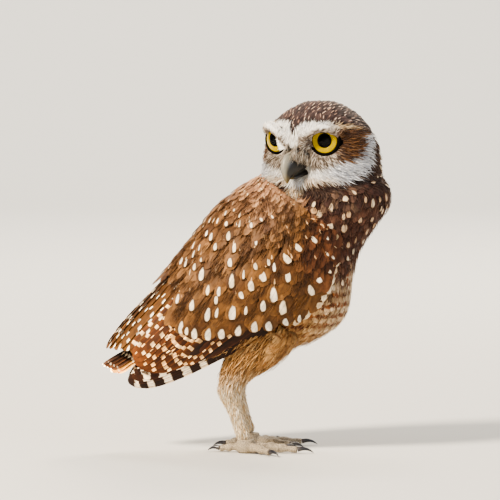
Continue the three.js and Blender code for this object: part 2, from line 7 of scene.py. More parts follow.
import logging
import math
from collections.abc import Callable
from dataclasses import dataclass, field
from enum import Enum
from functools import partial

import bpy
import numpy as np
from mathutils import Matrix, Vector
from mathutils.bvhtree import BVHTree
from mathutils.kdtree import KDTree


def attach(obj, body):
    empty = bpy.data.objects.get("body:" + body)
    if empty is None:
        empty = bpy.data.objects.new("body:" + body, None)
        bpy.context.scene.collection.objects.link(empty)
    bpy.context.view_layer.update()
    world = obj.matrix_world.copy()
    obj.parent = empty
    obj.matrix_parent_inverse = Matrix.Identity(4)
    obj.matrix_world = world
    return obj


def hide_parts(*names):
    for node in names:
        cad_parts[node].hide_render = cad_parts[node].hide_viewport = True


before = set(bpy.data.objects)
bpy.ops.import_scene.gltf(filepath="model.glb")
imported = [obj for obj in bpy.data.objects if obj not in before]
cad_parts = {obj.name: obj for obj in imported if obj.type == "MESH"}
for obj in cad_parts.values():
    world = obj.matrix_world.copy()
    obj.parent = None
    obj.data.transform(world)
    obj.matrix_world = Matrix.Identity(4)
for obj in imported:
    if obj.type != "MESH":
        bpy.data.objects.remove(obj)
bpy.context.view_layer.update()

log = logging.getLogger("owl")

Array = np.ndarray
Piece = bpy.types.Object
Socket = bpy.types.NodeSocket

# Where the bird's frame stands in the model's frame, in millimetres
STAND = np.array([1.784, 0.0, 0.0])
MM = 0.001

# Trunk and neck sections: back x, back z, belly x, belly z, half width, egg shape
TORSO = np.array([
    [-55, 86, -43, 67, 12, 0],
    [-45, 102, -27, 58, 23, 0],
    [-34, 117, -7, 55, 32, 0],
    [-23, 132, 17, 58.5, 37.5, 0],
    [-13, 145, 42, 67, 40, 0],
    [-5, 153, 57, 80, 41, 0],
    [0, 158, 61, 101, 40.5, 0.04],
    [3, 162, 66, 119, 38, 0.12],
    [5, 165.5, 76, 135, 34.5, 0.24],
])
NECK = np.array([
    [5, 165.5, 76, 135, 34.5, 0.24],
    [6, 167.5, 86, 150, 31, 0.34],
    [11, 168, 83, 160.5, 27, 0.34],
    [20, 168, 74, 166.5, 20, 0.2],
    [31, 168, 62, 168, 12, 0],
])

# Folded wing: the same kind of sections, from the wing's tip to the shoulder
WING = np.array([
    [-86.5, 62, -70, 34.7, 16, 0],
    [-74, 79, -53.5, 31.5, 22.5, 0],
    [-60, 95.5, -30, 37.5, 29, 0],
    [-47, 111.5, -9, 45, 37, 0],
    [-33.5, 128.5, 16, 52.5, 42.5, 0],
    [-19.5, 146, 38, 62, 45.5, 0],
    [-7.5, 156.5, 56, 77, 46, 0],
    [-1.2, 162, 63, 97, 44.3, 0],
    [2.6, 166, 69.5, 117, 40.4, 0],
])

# Angles from the back line between which the wing covers each section
WING_TOP = np.array([7, 4, 3, 3, 6, 12, 22, 34, 48], float)
WING_LOW = np.array([131, 132, 134, 133, 131, 127, 124, 126, 118], float)

# Head levels: height, reach to the front and to the rear, half width
HEAD = np.array([
    [153, 14, 16, 18],
    [155, 22.5, 25, 28],
    [159.5, 27.8, 32, 34],
    [166, 30, 35, 36.8],
    [173, 31.5, 34.8, 36.5],
    [180, 32, 33.2, 35.2],
    [187, 32.5, 31, 34.3],
    [193, 31.5, 29.5, 32.6],
    [198, 27.5, 26.5, 28.6],
    [202.5, 22, 22.5, 23.5],
    [206.3, 15.5, 16.5, 17],
    [209.2, 8.5, 9.5, 9.6],
    [210.5, 3, 4, 3.6],
])
HEAD_CENTRE = np.array([42.0, -2.0, 0.0])
HEAD_TURN = math.radians(-124)
HEAD_FORWARD = np.array([math.cos(HEAD_TURN), math.sin(HEAD_TURN), 0.0])
HEAD_LEFT = np.array([-math.sin(HEAD_TURN), math.cos(HEAD_TURN), 0.0])
UP = np.array([0.0, 0.0, 1.0])

# Brow ridge: forward, sideways, height, radius
BROW = np.array([
    [29.5, 2.6, 183, 1.8],
    [31.5, 9, 191.3, 3],
    [28.6, 18, 196.4, 3.0],
    [22.5, 24.0, 194.0, 2.7],
    [14, 25.2, 191.8, 3.0],
])

# How the photo shows the bird: its scale, where the bird's middle and the ground lie, the camera's rise
MM_PER_PIXEL = 0.6
PHOTO_MIDDLE = 250
PHOTO_GROUND = 450
CAMERA_RISE = math.radians(4)

# Spots that stand out on the near wing: photo x and y, read in pixels, half width, half length
WING_SPOTS = np.array([
    [203.3, 274, 2.2, 3.6], [233, 280, 2.1, 3.9], [230.8, 261.5, 1.9, 2.4], [263, 275.5, 2.8, 2.8],
    [251.5, 284.5, 2.4, 2.8], [286, 257, 3, 3.3], [297, 247.5, 2.1, 2.6], [312, 239, 1.7, 2.4],
    [287.5, 275, 2.2, 3.3], [273.5, 293, 2.8, 4.2], [282.5, 305, 3, 4.2], [316.5, 277, 2.3, 2.7],
    [309.5, 288, 2.6, 3], [220, 290, 1.5, 2.7], [209, 289, 1.5, 2.8], [217, 298, 1.5, 2.4],
    [242, 294, 2.1, 1.8], [193, 304.5, 2, 3], [179, 299, 1.4, 2.7], [209, 313, 2, 3.9],
    [233, 310, 2.6, 4.2], [263.5, 304, 2.2, 3], [246, 308, 1.3, 2.4], [218, 311.5, 1.3, 2.7],
    [181.5, 326, 2, 3.3], [187.5, 330, 1.5, 2.1], [195, 332, 2.4, 3], [208.7, 332, 2.5, 3.4],
    [222.5, 332, 2.8, 2.8], [239, 329, 2.5, 3], [254.5, 324, 2.7, 3], [268.5, 323.5, 3, 2.7],
    [285, 319.5, 2.6, 2], [298.5, 316, 1.6, 2.2], [256, 266, 1.6, 1.8], [273.5, 266, 1.2, 2.4],
    [268.5, 261, 1.2, 2.2], [235, 247, 1.4, 3.2], [256.5, 241.5, 1, 2.6], [229.5, 236.5, 1.8, 2.7],
    [238.5, 224.5, 1.5, 1.9], [251.5, 226.5, 1.2, 1.8], [261.5, 221, 1.1, 1.5], [272.5, 218.5, 0.8, 1.2],
    [235.5, 212.3, 0.9, 1], [227, 215, 0.8, 1.8], [219, 222, 0.8, 2], [212, 222, 0.6, 2],
    [227.5, 225, 1.5, 1.6], [213, 238, 1.6, 2.4], [208.5, 235, 1.2, 2], [217, 247, 1.6, 2.2],
    [195.5, 246.5, 0.8, 2.6], [201.5, 249, 0.8, 2.2], [195.5, 255, 0.8, 2.4], [183.5, 261.5, 1.4, 3],
    [196, 267, 1.5, 2], [187.5, 264, 1.2, 2.6], [202.5, 260.5, 1, 1.2], [196.5, 235, 0.6, 1.8],
    [244, 273, 0.9, 2.4], [325, 252.5, 0.9, 1.5], [331, 256, 1, 1.4], [327.5, 269.5, 1.4, 1.6],
    [325.5, 238, 1, 1.4],
])

# Spots that stand out on neck and breast, seen from the side: ahead, height, half width, half length
NECK_SPOTS = np.array([
    [35.1, 145, 2.3, 2.4], [40.8, 140.7, 2.2, 2.8], [48, 148.5, 2.6, 1.6], [57, 141.3, 1.8, 2.2],
    [47.7, 133.5, 2.4, 2.4], [54.6, 134.1, 2.2, 3], [60.9, 128.1, 1, 2.4], [59.4, 122.1, 1.3, 2.8],
    [55.2, 105, 2, 1.8], [54.6, 99.5, 2.2, 2], [71.4, 140.7, 1.6, 2], [67.8, 134.1, 1.6, 2],
    [64.8, 126.9, 1.6, 2], [67.8, 148, 1.5, 2.8], [76.2, 152.2, 1.3, 2.6], [79.2, 157.6, 1.1, 2.4],
    [82.8, 148.6, 1.1, 2.6],
])

# Feather colours, each from darkest to palest
BROWN = ("#412613", "#61401f", "#8c6238")
SHOULDER = ("#7f593f", "#a47a5d", "#cda27d")
DUSK = ("#2f1a0d", "#52301b", "#80512e")
NAPE = ("#33201a", "#493129", "#67503f")
CAP = ("#241918", "#392a28", "#52403c")
BREAST = ("#371f16", "#503124", "#6b4b3a")
TAN = ("#7b5024", "#a3743b", "#c69a60")
CREAM = ("#b89e7c", "#e0ccac", "#f2e6d0")
THIGH_GOLD = ("#7d5429", "#a67b49", "#cda472")
SHANK_CREAM = ("#cfae80", "#ead6b4", "#f8eedb")
CHEEK = ("#351e10", "#57371f", "#82592f")
LORE = ("#43372c", "#88786a", "#d8cdbf")
CHIN = ("#a98256", "#dcc4a0", "#f6eede")
# Near black, used for the painted shadow under the crescent
BLACKISH = ("#140c08", "#2a1a11", "#4a3220")
WHITE = ("#ede6dc", "#fbf8f3", "#ffffff")
# Grey-blue painted shade on the white crescent, stronger towards the sides of the head
CRESCENT_SHADE = ("#b9babf", "#dcdde1", "#f2f3f6")


def srgb(code: str) -> Array:
    """Turns an sRGB hex colour into linear RGB.

    Args:
        code: The colour as "#rrggbb".

    Returns:
        Three linear values.
    """
    raw = np.array([int(code[i:i + 2], 16) / 255 for i in (1, 3, 5)])
    return np.where(raw <= 0.04045, raw / 12.92, ((raw + 0.055) / 1.055) ** 2.4)


def unit(vectors: Array) -> Array:
    """Scales vectors to length one."""
    return vectors / np.maximum(np.linalg.norm(vectors, axis=-1, keepdims=True), 1e-9)


def mix(a: Array | float, b: Array | float, t: Array | float) -> Array | float:
    """Blends from a to b."""
    return a + (b - a) * t


def ease(low: float, high: float, value: Array) -> Array:
    """Rises smoothly from 0 at low to 1 at high."""
    t = np.clip((value - low) / (high - low), 0, 1)
    return t * t * (3 - 2 * t)


def between(table: Array, place: Array) -> Array:
    """Reads a table at places between its rows, along a smooth curve.

    Args:
        table: Rows of values.
        place: Row numbers, whole or not, of any shape.

    Returns:
        The values, with the table's columns as the last axis.
    """
    last = len(table) - 1
    at = np.clip(place, 0, last)
    row = np.minimum(at.astype(int), last - 1)
    t = (at - row)[..., None]
    padded = np.vstack([2 * table[0] - table[1], table, 2 * table[-1] - table[-2]])
    p0, p1, p2, p3 = (padded[row + step] for step in range(4))
    bend = (2 * p0 - 5 * p1 + 4 * p2 - p3) * t**2
    return 0.5 * (2 * p1 + (p2 - p0) * t + bend + (3 * p1 - p0 - 3 * p2 + p3) * t**3)


def along(points: list[tuple[float, ...]], share: Array) -> Array:
    """Walks along a line of control points at an even pace.

    Args:
        points: The control points.
        share: How far along each answer lies, from 0 to 1.

    Returns:
        One point for each share.
    """
    table = np.array(points, float)
    return between(table, np.asarray(share) * (len(table) - 1))


def section_point(table: Array, place: Array, degrees: Array, lift: Array) -> Array:
    """Finds points on slanted body sections, on the left side of the bird.

    Args:
        table: The sections.
        place: Section numbers.
        degrees: Angles from the back line.
        lift: Millimetres off the surface.

    Returns:
        The points.
    """
    place, degrees, lift = np.broadcast_arrays(*(np.asarray(v, float) for v in (place, degrees, lift)))
    row = between(table, place)
    back, belly, half, egg = row[..., 0:2], row[..., 2:4], row[..., 4], row[..., 5]
    height = np.linalg.norm(back - belly, axis=-1) / 2
    up = (back - belly) / (2 * height[..., None])
    angle = np.radians(degrees)
    spot = (back + belly) / 2 + up * ((height + lift) * np.cos(angle))[..., None]
    side = (half * (1 - egg * np.cos(angle)) + lift) * np.sin(angle)
    return np.stack([spot[..., 0], side, spot[..., 1]], axis=-1)


def spots_on_wing(spots: Array) -> Array:
    """Finds where on the folded wing the photo shows spots.

    Args:
        spots: Photo x, photo y, half width and half length of each.

    Returns:
        Place and angle on the wing, rounded, half width and half length of each.
    """
    place, degrees = np.meshgrid(np.linspace(0, 8, 801), np.linspace(0, 140, 701), indexing="ij")
    x, side, z = np.moveaxis(section_point(WING, place, degrees, 0), -1, 0)
    across = PHOTO_MIDDLE + x / MM_PER_PIXEL
    down = PHOTO_GROUND - (z * math.cos(CAMERA_RISE) - side * math.sin(CAMERA_RISE)) / MM_PER_PIXEL
    nearest = [np.argmin((across - spot[0]) ** 2 + (down - spot[1]) ** 2) for spot in spots]
    found = [place.ravel()[nearest].round(2), degrees.ravel()[nearest].round()]
    return np.stack([*found, *spots[:, 2:].T], axis=-1)


def head_point(forward: Array, left: Array, z: Array) -> Array:
    """Places points given in the head's own directions."""
    forward, left, z = np.broadcast_arrays(*(np.asarray(v, float) for v in (forward, left, z)))
    flat = forward[..., None] * HEAD_FORWARD + left[..., None] * HEAD_LEFT + HEAD_CENTRE
    return flat + z[..., None] * UP


def head_polar(points: Array) -> tuple[Array, Array]:
    """Reads the bearing from the face, in degrees to its left, and the height of points."""
    away = points - HEAD_CENTRE
    return np.degrees(np.arctan2(away @ HEAD_LEFT, away @ HEAD_FORWARD)), points[..., 2]


class Side(Enum):
    """The bird's right and left."""

    RIGHT = -1
    LEFT = 1

    @property
    def title(self) -> str:
        """The side's name as the pieces bear it."""
        return self.name.lower()


# How far each foot stands from the middle, and how far the left one stands ahead of the right
STANCE = 18.0
STEP = {Side.RIGHT: 0.0, Side.LEFT: 3.0}

# Thigh and shank stations: ahead, inwards, height, half length and half width across the bird
THIGH = np.array([
    [14, -2, 78, 19, 13],
    [4, -1, 64, 16, 12.5],
    [-4.5, -0.5, 54, 12, 10.8],
    [-9.5, 0, 46, 9.3, 8.8],
    [-12.3, 0, 39.4, 7.7, 7.2],
])
SHANK = np.array([
    [-12.4, 0, 39, 7.6, 7.1],
    [-12.2, 0, 35, 7, 6.4],
    [-9.8, 0, 28, 5.4, 5],
    [-6.8, 0, 18, 4.7, 4.4],
    [-4, 0, 10, 4.9, 4.6],
    [-3.4, 0, 8.4, 4.9, 4.7],
])


def leg_line(stations: Array, side: Side, steps: int) -> tuple[Array, Array]:
    """Walks down a thigh or a shank.

    Args:
        stations: Its stations.
        side: Which leg.
        steps: How many points.

    Returns:
        Points of its axis, and half length and half width there.
    """
    rows = between(stations, np.linspace(0, len(stations) - 1, steps))
    axis = np.stack([rows[:, 0] + STEP[side], side.value * (STANCE - rows[:, 1]), rows[:, 2]], axis=-1)
    return axis, rows[:, 3:]


@dataclass
class Draft:
    """Points, faces and face maps of one mesh, gathered piece by piece."""

    points: list[Array] = field(default_factory=list)
    quads: list[Array] = field(default_factory=list)
    tris: list[Array] = field(default_factory=list)
    values: dict[str, list[Array]] = field(default_factory=dict)
    count: int = 0

    def add(
        self,
        points: Array,
        quads: Array | None = None,
        tris: Array | None = None,
        **values: Array,
    ) -> None:
        """Adds one shape.

        Args:
            points: Its points, in millimetres.
            quads: Its four-sided faces.
            tris: Its three-sided faces.
            **values: Values of each point, by name.
        """
        if quads is not None and len(quads):
            self.quads.append(quads + self.count)
        if tris is not None and len(tris):
            self.tris.append(tris + self.count)
        self.points.append(points)
        for name, value in values.items():
            self.values.setdefault(name, []).append(value)
        self.count += len(points)

    def build(self, name: str) -> Piece:
        """Makes the mesh object; the value "patch" becomes its UV map for the bake.

        Args:
            name: The piece's name.

        Returns:
            The linked object, smooth, with its values as attributes.
        """
        points = (np.concatenate(self.points) + STAND) * MM
        quads = np.concatenate(self.quads) if self.quads else np.zeros((0, 4), int)
        tris = np.concatenate(self.tris) if self.tris else np.zeros((0, 3), int)
        corners = np.concatenate([quads.ravel(), tris.ravel()]).astype(np.int32)
        starts = np.concatenate([np.arange(len(quads)) * 4, len(quads) * 4 + np.arange(len(tris)) * 3])
        mesh = bpy.data.meshes.new(name)
        mesh.vertices.add(len(points))
        mesh.vertices.foreach_set("co", points.astype(np.float32).ravel())
        mesh.loops.add(len(corners))
        mesh.loops.foreach_set("vertex_index", corners)
        mesh.polygons.add(len(quads) + len(tris))
        mesh.polygons.foreach_set("loop_start", starts.astype(np.int32))
        mesh.polygons.foreach_set("use_smooth", np.ones(len(starts), bool))
        mesh.update(calc_edges=True)
        for title, parts in self.values.items():
            value = np.concatenate(parts).astype(np.float32)
            if title == "patch":
                mesh.uv_layers.new(name="OFBake").data.foreach_set("uv", value[corners].ravel())
            elif title == "rim":
                ends = np.empty(len(mesh.edges) * 2, np.int32)
                mesh.edges.foreach_get("vertices", ends)
                sharp = value[ends].reshape(-1, 2).min(axis=1) > 0.5
                mesh.attributes.new("sharp_edge", "BOOLEAN", "EDGE").data.foreach_set("value", sharp)
            elif value.shape[1] == 4:
                mesh.attributes.new(title, "FLOAT_COLOR", "POINT").data.foreach_set("color", value.ravel())
            else:
                mesh.attributes.new(title, "FLOAT_VECTOR", "POINT").data.foreach_set("vector", value.ravel())
        piece = bpy.data.objects.new(name, mesh)
        bpy.context.scene.collection.objects.link(piece)
        return piece


def turns(count: int) -> Array:
    """Spreads angles evenly round a circle, in radians."""
    return 2 * math.pi * np.arange(count) / count


def corners_of(points: Array, faces: Array) -> list[Array]:
    """Reads the first three corners of faces."""
    return [points[faces[:, k]] for k in range(3)]


def read_points(mesh: bpy.types.Mesh) -> Array:
    """Reads the points of a mesh, in metres."""
    points = np.empty(len(mesh.vertices) * 3, np.float32)
    mesh.vertices.foreach_get("co", points)
    return points.reshape(-1, 3)


def search_tree(points: Array) -> KDTree:
    """Lays out points for finding the nearest one.

    Args:
        points: Points, in millimetres.

    Returns:
        The tree.
    """
    tree = KDTree(len(points))
    for number, point in enumerate(points.tolist()):
        tree.insert(point, number)
    tree.balance()
    return tree


def grid_quads(rows: int, columns: int, wrap: bool = False) -> Array:
    """Numbers the faces of a grid of points.

    Args:
        rows: Rows of points.
        columns: Points in a row.
        wrap: Whether each row closes on itself.

    Returns:
        Four-sided faces.
    """
    last = columns if wrap else columns - 1
    row, column = np.meshgrid(np.arange(rows - 1), np.arange(last), indexing="ij")
    after = (column + 1) % columns
    a, b = row * columns + column, row * columns + after
    return np.stack([a, b, b + columns, a + columns], axis=-1).reshape(-1, 4)


def tube(rings: Array) -> tuple[Array, Array, Array]:
    """Closes rings of points into a tube with flat ends.

    Args:
        rings: Points, by ring and side.

    Returns:
        Points, four-sided and three-sided faces, turned outwards.
    """
    count, sides, _ = rings.shape
    centres = rings[[0, -1]].mean(axis=1)
    points = np.vstack([rings.reshape(-1, 3), centres])
    quads = grid_quads(count, sides, wrap=True)
    side = np.arange(sides)
    after = (side + 1) % sides
    first = np.stack([np.full(sides, count * sides), after, side], axis=-1)
    base = (count - 1) * sides
    last = np.stack([np.full(sides, count * sides + 1), side + base, after + base], axis=-1)
    tris = np.vstack([first, last])
    a, b, c = corners_of(points, quads)
    d, e, f = corners_of(points, tris)
    volume = np.einsum("ij,ij->", a, np.cross(b, c)) * 2 + np.einsum("ij,ij->", d, np.cross(e, f))
    if volume < 0:
        quads, tris = quads[:, ::-1], tris[:, ::-1]
    return points, quads, tris


def path_rings(path: Array, radii: Array, sides: int) -> Array:
    """Sets rings across a path.

    Args:
        path: Points of the path.
        radii: The radius at each.
        sides: Points of a ring.

    Returns:
        Points, by ring and side.
    """
    run = unit(np.gradient(path, axis=0))
    across = np.cross(np.tile(UP, (len(path), 1)), run)
    across = unit(np.where(np.linalg.norm(across, axis=1, keepdims=True) < 0.05, HEAD_LEFT, across))
    upright = np.cross(run, across)
    angle = turns(sides)[None, :, None]
    wide = across[:, None] * np.cos(angle) * radii[:, None, None]
    high = upright[:, None] * np.sin(angle) * radii[:, None, None]
    return path[:, None] + wide + high


# Surfaces that feathers are laid on


class Surface:
    """A surface of the bird by place and angle."""

    def at(self, place: Array, degrees: Array, lift: Array) -> Array:
        """Finds points by place, angle and millimetres off the surface."""
        raise NotImplementedError

    def shafts(
        self, root: Array, tip: Array, sink: Array | float, rise: Array, steps: int
    ) -> tuple[Array, Array]:
        """Draws the shaft of each feather and the outward direction along it.

        Args:
            root: Place and angle of each root.
            tip: Place and angle of each tip.
            sink: Lift at the roots.
            rise: Lift at the tips.
            steps: Points of each shaft.

        Returns:
            Shaft points and outward directions, by feather and step.
        """
        t = np.linspace(0, 1, steps)[None, :]
        place = mix(root[:, :1], tip[:, :1], t)
        degrees = mix(root[:, 1:], tip[:, 1:], t)
        lift = mix(rise[:, None], np.broadcast_to(sink, rise.shape)[:, None], (1 - t) ** 2)
        shaft = self.at(place, degrees, lift)
        outward = unit(self.at(place, degrees, lift + 1) - shaft)
        return shaft, outward


@dataclass(frozen=True)
class WingCloak(Surface):
    """The outer surface of one folded wing."""

    side: Side

    def at(self, place: Array, degrees: Array, lift: Array) -> Array:
        """Finds points by place, angle and millimetres off the surface."""
        point = section_point(WING, place, degrees, lift)
        point[..., 1] = np.maximum(point[..., 1], 0.3) * self.side.value
        return point


@dataclass(frozen=True)
class TailArch(Surface):
    """The arched upper surface of the closed tail."""

    root: tuple[float, float] = (-50, 76)
    tip: tuple[float, float] = (-89, 52)
    arch_root: float = 12
    arch_tip: float = 20

    def at(self, place: Array, degrees: Array, lift: Array) -> Array:
        """Finds points by share of the length, angle and millimetres off the surface.

        Args:
            place: Place from the tip on.
            degrees: Angle round the section.
            lift: Height over the surface.

        Returns:
            Points, in millimetres.
        """
        drop = mix(self.arch_root, self.arch_tip, place)
        angle = np.radians(degrees)
        x = mix(self.root[0], self.tip[0], place) + 0 * angle
        z = mix(self.root[1], self.tip[1], place)
        return np.stack([x, (drop + lift) * np.sin(angle), z + (drop + lift) * np.cos(angle) - drop], axis=-1)


# Skin

# Radius of the hollow round each eye
EYE_HOLLOW = 19.0


@dataclass
class Skin:
    """The one skin of trunk, neck, head, wing arms and legs, under the coat."""

    trunk_depth: float = 3.4
    neck_depth: float = 3.6
    head_depth: float = 2.2
    wing_depth: float = 4.2
    arm_thickness: float = 9.0
    thigh_depth: float = 1.9
    shank_depth: float = 1.0
    voxel: float = 1.3
    points: Array = field(init=False)
    faces: Array = field(init=False)
    normals: Array = field(init=False)
    tree: BVHTree = field(init=False)
    middle: Array = field(init=False)
    area: Array = field(init=False)
    zone: Array = field(init=False)

    def _trunk(self, table: Array, depth: float) -> Array:
        """Rings of the trunk or the neck."""
        place = np.linspace(0, len(table) - 1, 44)[:, None]
        return section_point(table, place, np.arange(0, 360, 7.5)[None, :], -depth)

    def _head(self) -> Array:
        """Rings of the head."""
        rows = between(HEAD, np.linspace(0, len(HEAD) - 1, 110))
        angle = np.radians(np.arange(0, 360, 3))[None, :]
        grow = -self.head_depth
        reach = np.where(np.cos(angle) > 0, rows[:, 1:2], rows[:, 2:3]) + grow
        reach = np.maximum(reach, 0.5)
        half = np.maximum(rows[:, 3:4] + grow, 0.5)
        lower = np.clip(rows[:, :1], 153 + self.head_depth, 209.1)
        rings = head_point(reach * np.cos(angle), half * np.sin(angle), lower)
        return self._face(rings.reshape(-1, 3)).reshape(rings.shape)

    def _rump(self) -> Array:
        """Rings of the short stump that carries the tail feathers."""
        share = np.array([0, 0.25, 0.6, 1.0])[:, None]
        axis = unit(np.array([-39.5, 0, -24.0]))
        rings = section_point(TORSO, 0, np.arange(0, 360, 15)[None, :], -mix(3.0, 8.2, share))
        return rings + axis * (20 * share - 1)[..., None]

    def _arm(self, side: Side) -> tuple[Array, Array]:
        """A closed sheet under the wing's coverts.

        Args:
            side: Which side.

        Returns:
            Rings of points.
        """
        # The sheet is a grid of 40 by 40 points outside and as many inside
        steps, half = 40, 1600
        place = np.linspace(2.1, 8, steps)[:, None]
        top = np.interp(place, np.arange(9), WING_TOP) + 3
        low = np.interp(place, np.arange(9), WING_LOW) - 4
        degrees = mix(top, low, np.linspace(0, 1, steps)[None, :])
        depth = mix(1.6, self.arm_thickness, np.clip((place - 2.1) / 1.4, 0, 1))
        cloak = WingCloak(side)
        outer = cloak.at(place, degrees, -self.wing_depth).reshape(-1, 3)
        inner = cloak.at(place, degrees, -self.wing_depth - depth).reshape(-1, 3)
        quads = grid_quads(steps, steps)
        number = np.arange(half).reshape(steps, steps)
        edge = np.concatenate([number[0], number[1:, -1], number[-1, -2::-1], number[-2:0:-1, 0]])
        after = np.roll(edge, -1)
        walls = np.stack([edge, edge + half, after + half, after], axis=-1)
        faces = np.vstack([quads, quads[:, ::-1] + half, walls])
        points = np.vstack([outer, inner])
        a, b, c = corners_of(points, faces)
        if np.einsum("ij,ij->", a, np.cross(b, c)) < 0:
            faces = faces[:, ::-1]
        return points, faces

    def _leg(self, stations: Array, side: Side, depth: float) -> Array:
        """Rings of a thigh or a shank.

        Args:
            stations: Sections from the root to the tip.
            side: Which side.
            depth: How far it lies under the feathers.

        Returns:
            Rings of points.
        """
        path, half = leg_line(stations, side, 36)
        across = np.array([0.0, 1.0, 0.0])
        forward = unit(np.cross(unit(np.gradient(path, axis=0)), across))
        angle = np.radians(np.arange(0, 360, 12))[None, :, None]
        wide = forward[:, None] * np.cos(angle) * (half[:, 0] - depth)[:, None, None]
        thick = across * np.sin(angle) * (half[:, 1] - depth)[:, None, None]
        return path[:, None] + wide + thick

    def build(self) -> Piece:
        """Joins the shells into one closed skin and keeps it for laying the coat.

        Returns:
            The skin object.
        """
        draft = Draft()
        shells = [
            self._trunk(TORSO, self.trunk_depth),
            self._trunk(NECK, self.neck_depth),
            self._head(),
            self._rump(),
        ]
        for mirror in (-1, 1):
            path = head_point(BROW[:, 0] - 1.6, mirror * BROW[:, 1], BROW[:, 2] - 1.2)
            steps = np.linspace(0, 4, 17)
            shells.append(path_rings(between(path, steps), between(BROW[:, 3:], steps)[:, 0], 12))
        for side in Side:
            shells.append(self._leg(THIGH, side, self.thigh_depth))
            shells.append(self._leg(SHANK, side, self.shank_depth))
            points, faces = self._arm(side)
            draft.add(points, faces)
        for shell in shells:
            draft.add(*tube(shell))
        rough = draft.build("skin_shells")
        remesh = rough.modifiers.new("join", "REMESH")
        remesh.mode = "VOXEL"
        remesh.voxel_size = self.voxel * MM
        mesh = bpy.data.meshes.new_from_object(rough.evaluated_get(bpy.context.evaluated_depsgraph_get()))
        bpy.data.objects.remove(rough)
        points = read_points(mesh).astype(float) / MM - STAND
        edges = np.empty(len(mesh.edges) * 2, np.int32)
        mesh.edges.foreach_get("vertices", edges)
        edges = edges.reshape(-1, 2)
        for _ in range(5):
            points = self._relax(points, edges)
        mesh.vertices.foreach_set("co", ((points + STAND) * MM).astype(np.float32).ravel())
        mesh.polygons.foreach_set("use_smooth", np.ones(len(mesh.polygons), bool))
        mesh.update()
        skin = bpy.data.objects.new("skin", mesh)
        bpy.context.scene.collection.objects.link(skin)
        mesh.calc_loop_triangles()
        faces = np.empty(len(mesh.loop_triangles) * 3, np.int32)
        mesh.loop_triangles.foreach_get("vertices", faces)
        self.points, self.faces = points, faces.reshape(-1, 3)
        a, b, c = corners_of(self.points, self.faces)
        flat = np.cross(b - a, c - a)
        normals = np.zeros_like(points)
        for k in range(3):
            for axis in range(3):
                normals[:, axis] += np.bincount(self.faces[:, k], flat[:, axis], len(points))
        self.normals = unit(normals)
        self.tree = BVHTree.FromPolygons(points.tolist(), self.faces.tolist(), all_triangles=True)
        return skin

    @staticmethod
    def _relax(points: Array, edges: Array) -> Array:
        """Moves each point halfway to the middle of its neighbours."""
        count = np.bincount(edges.ravel(), minlength=len(points))
        total = np.zeros_like(points)
        for one, other in ((0, 1), (1, 0)):
            for axis in range(3):
                total[:, axis] += np.bincount(edges[:, one], points[edges[:, other], axis], len(points))
        return mix(points, total / np.maximum(count, 1)[:, None], 0.5)

    @staticmethod
    def _face(points: Array) -> Array:
        """Hollows the face round each eye and beside the bill."""
        for side in Side:
            eye = Eye(side)
            middle = eye.centre + eye.gaze * (EYE_HOLLOW + 4.4)
            away = points - middle
            reach = np.linalg.norm(away, axis=1)
            inside = reach < EYE_HOLLOW
            points[inside] = middle + away[inside] / reach[inside, None] * EYE_HOLLOW
        away = points - HEAD_CENTRE
        ahead, left, z = away @ HEAD_FORWARD, np.abs(away @ HEAD_LEFT), points[:, 2]
        limit = 21.5 + 0.9 * np.maximum(left - 7, 0)
        weight = ease(161, 167, z) * ease(184, 178, z)
        back = np.maximum(ahead - limit, 0) * weight
        return points - HEAD_FORWARD * back[:, None]

    def sort(self, markings: "Markings") -> None:
        """Sorts the skin's faces into zones.

        Args:
            markings: The bird's markings.
        """
        a, b, c = corners_of(self.points, self.faces)
        self.middle = (a + b + c) / 3
        self.area = np.linalg.norm(np.cross(b - a, c - a), axis=1) / 2
        self.zone = markings.zones(self.middle)

    def dress(self, piece: Piece, markings: "Markings") -> None:
        """Gives the skin the coat's colours."""
        colour = tint(markings.ground(self.points, np.random.default_rng(3)), 1.0).astype(np.float32)
        piece.data.attributes.new("ground", "FLOAT_COLOR", "POINT").data.foreach_set("color", colour.ravel())
        dress([piece], BareSkin())

    def nearest(self, points: Array) -> tuple[Array, Array]:
        """Finds the nearest points of the skin, and where it faces there."""
        found = [self.tree.find_nearest(Vector(point)) for point in points.tolist()]
        return np.array([hit[0][:] for hit in found]), np.array([hit[1][:] for hit in found])

    def scatter(self, mask: Array, spacing: Array | float, seed: int) -> tuple[Array, Array]:
        """Spreads feather roots evenly over part of the skin.

        Args:
            mask: Which faces take roots.
            spacing: Least distance between roots at each face, in millimetres.
            seed: Starts the random numbers.

        Returns:
            Root points and skin normals.
        """
        random = np.random.default_rng(seed)
        spacing = np.broadcast_to(spacing, len(mask))
        weight = np.cumsum(self.area * mask / spacing**2)
        count = int(weight[-1] * 5)
        pick = np.searchsorted(weight, random.random(count) * weight[-1])
        u, v = random.random((2, count))
        flip = u + v > 1
        u, v = np.where(flip, 1 - u, u), np.where(flip, 1 - v, v)
        corner = self.faces[pick]
        share = np.stack([1 - u - v, u, v], axis=-1)[..., None]
        spots = (self.points[corner] * share).sum(axis=1)
        normals = unit((self.normals[corner] * share).sum(axis=1))
        kept = thin_out(spots, spacing[pick])
        return spots[kept], normals[kept]

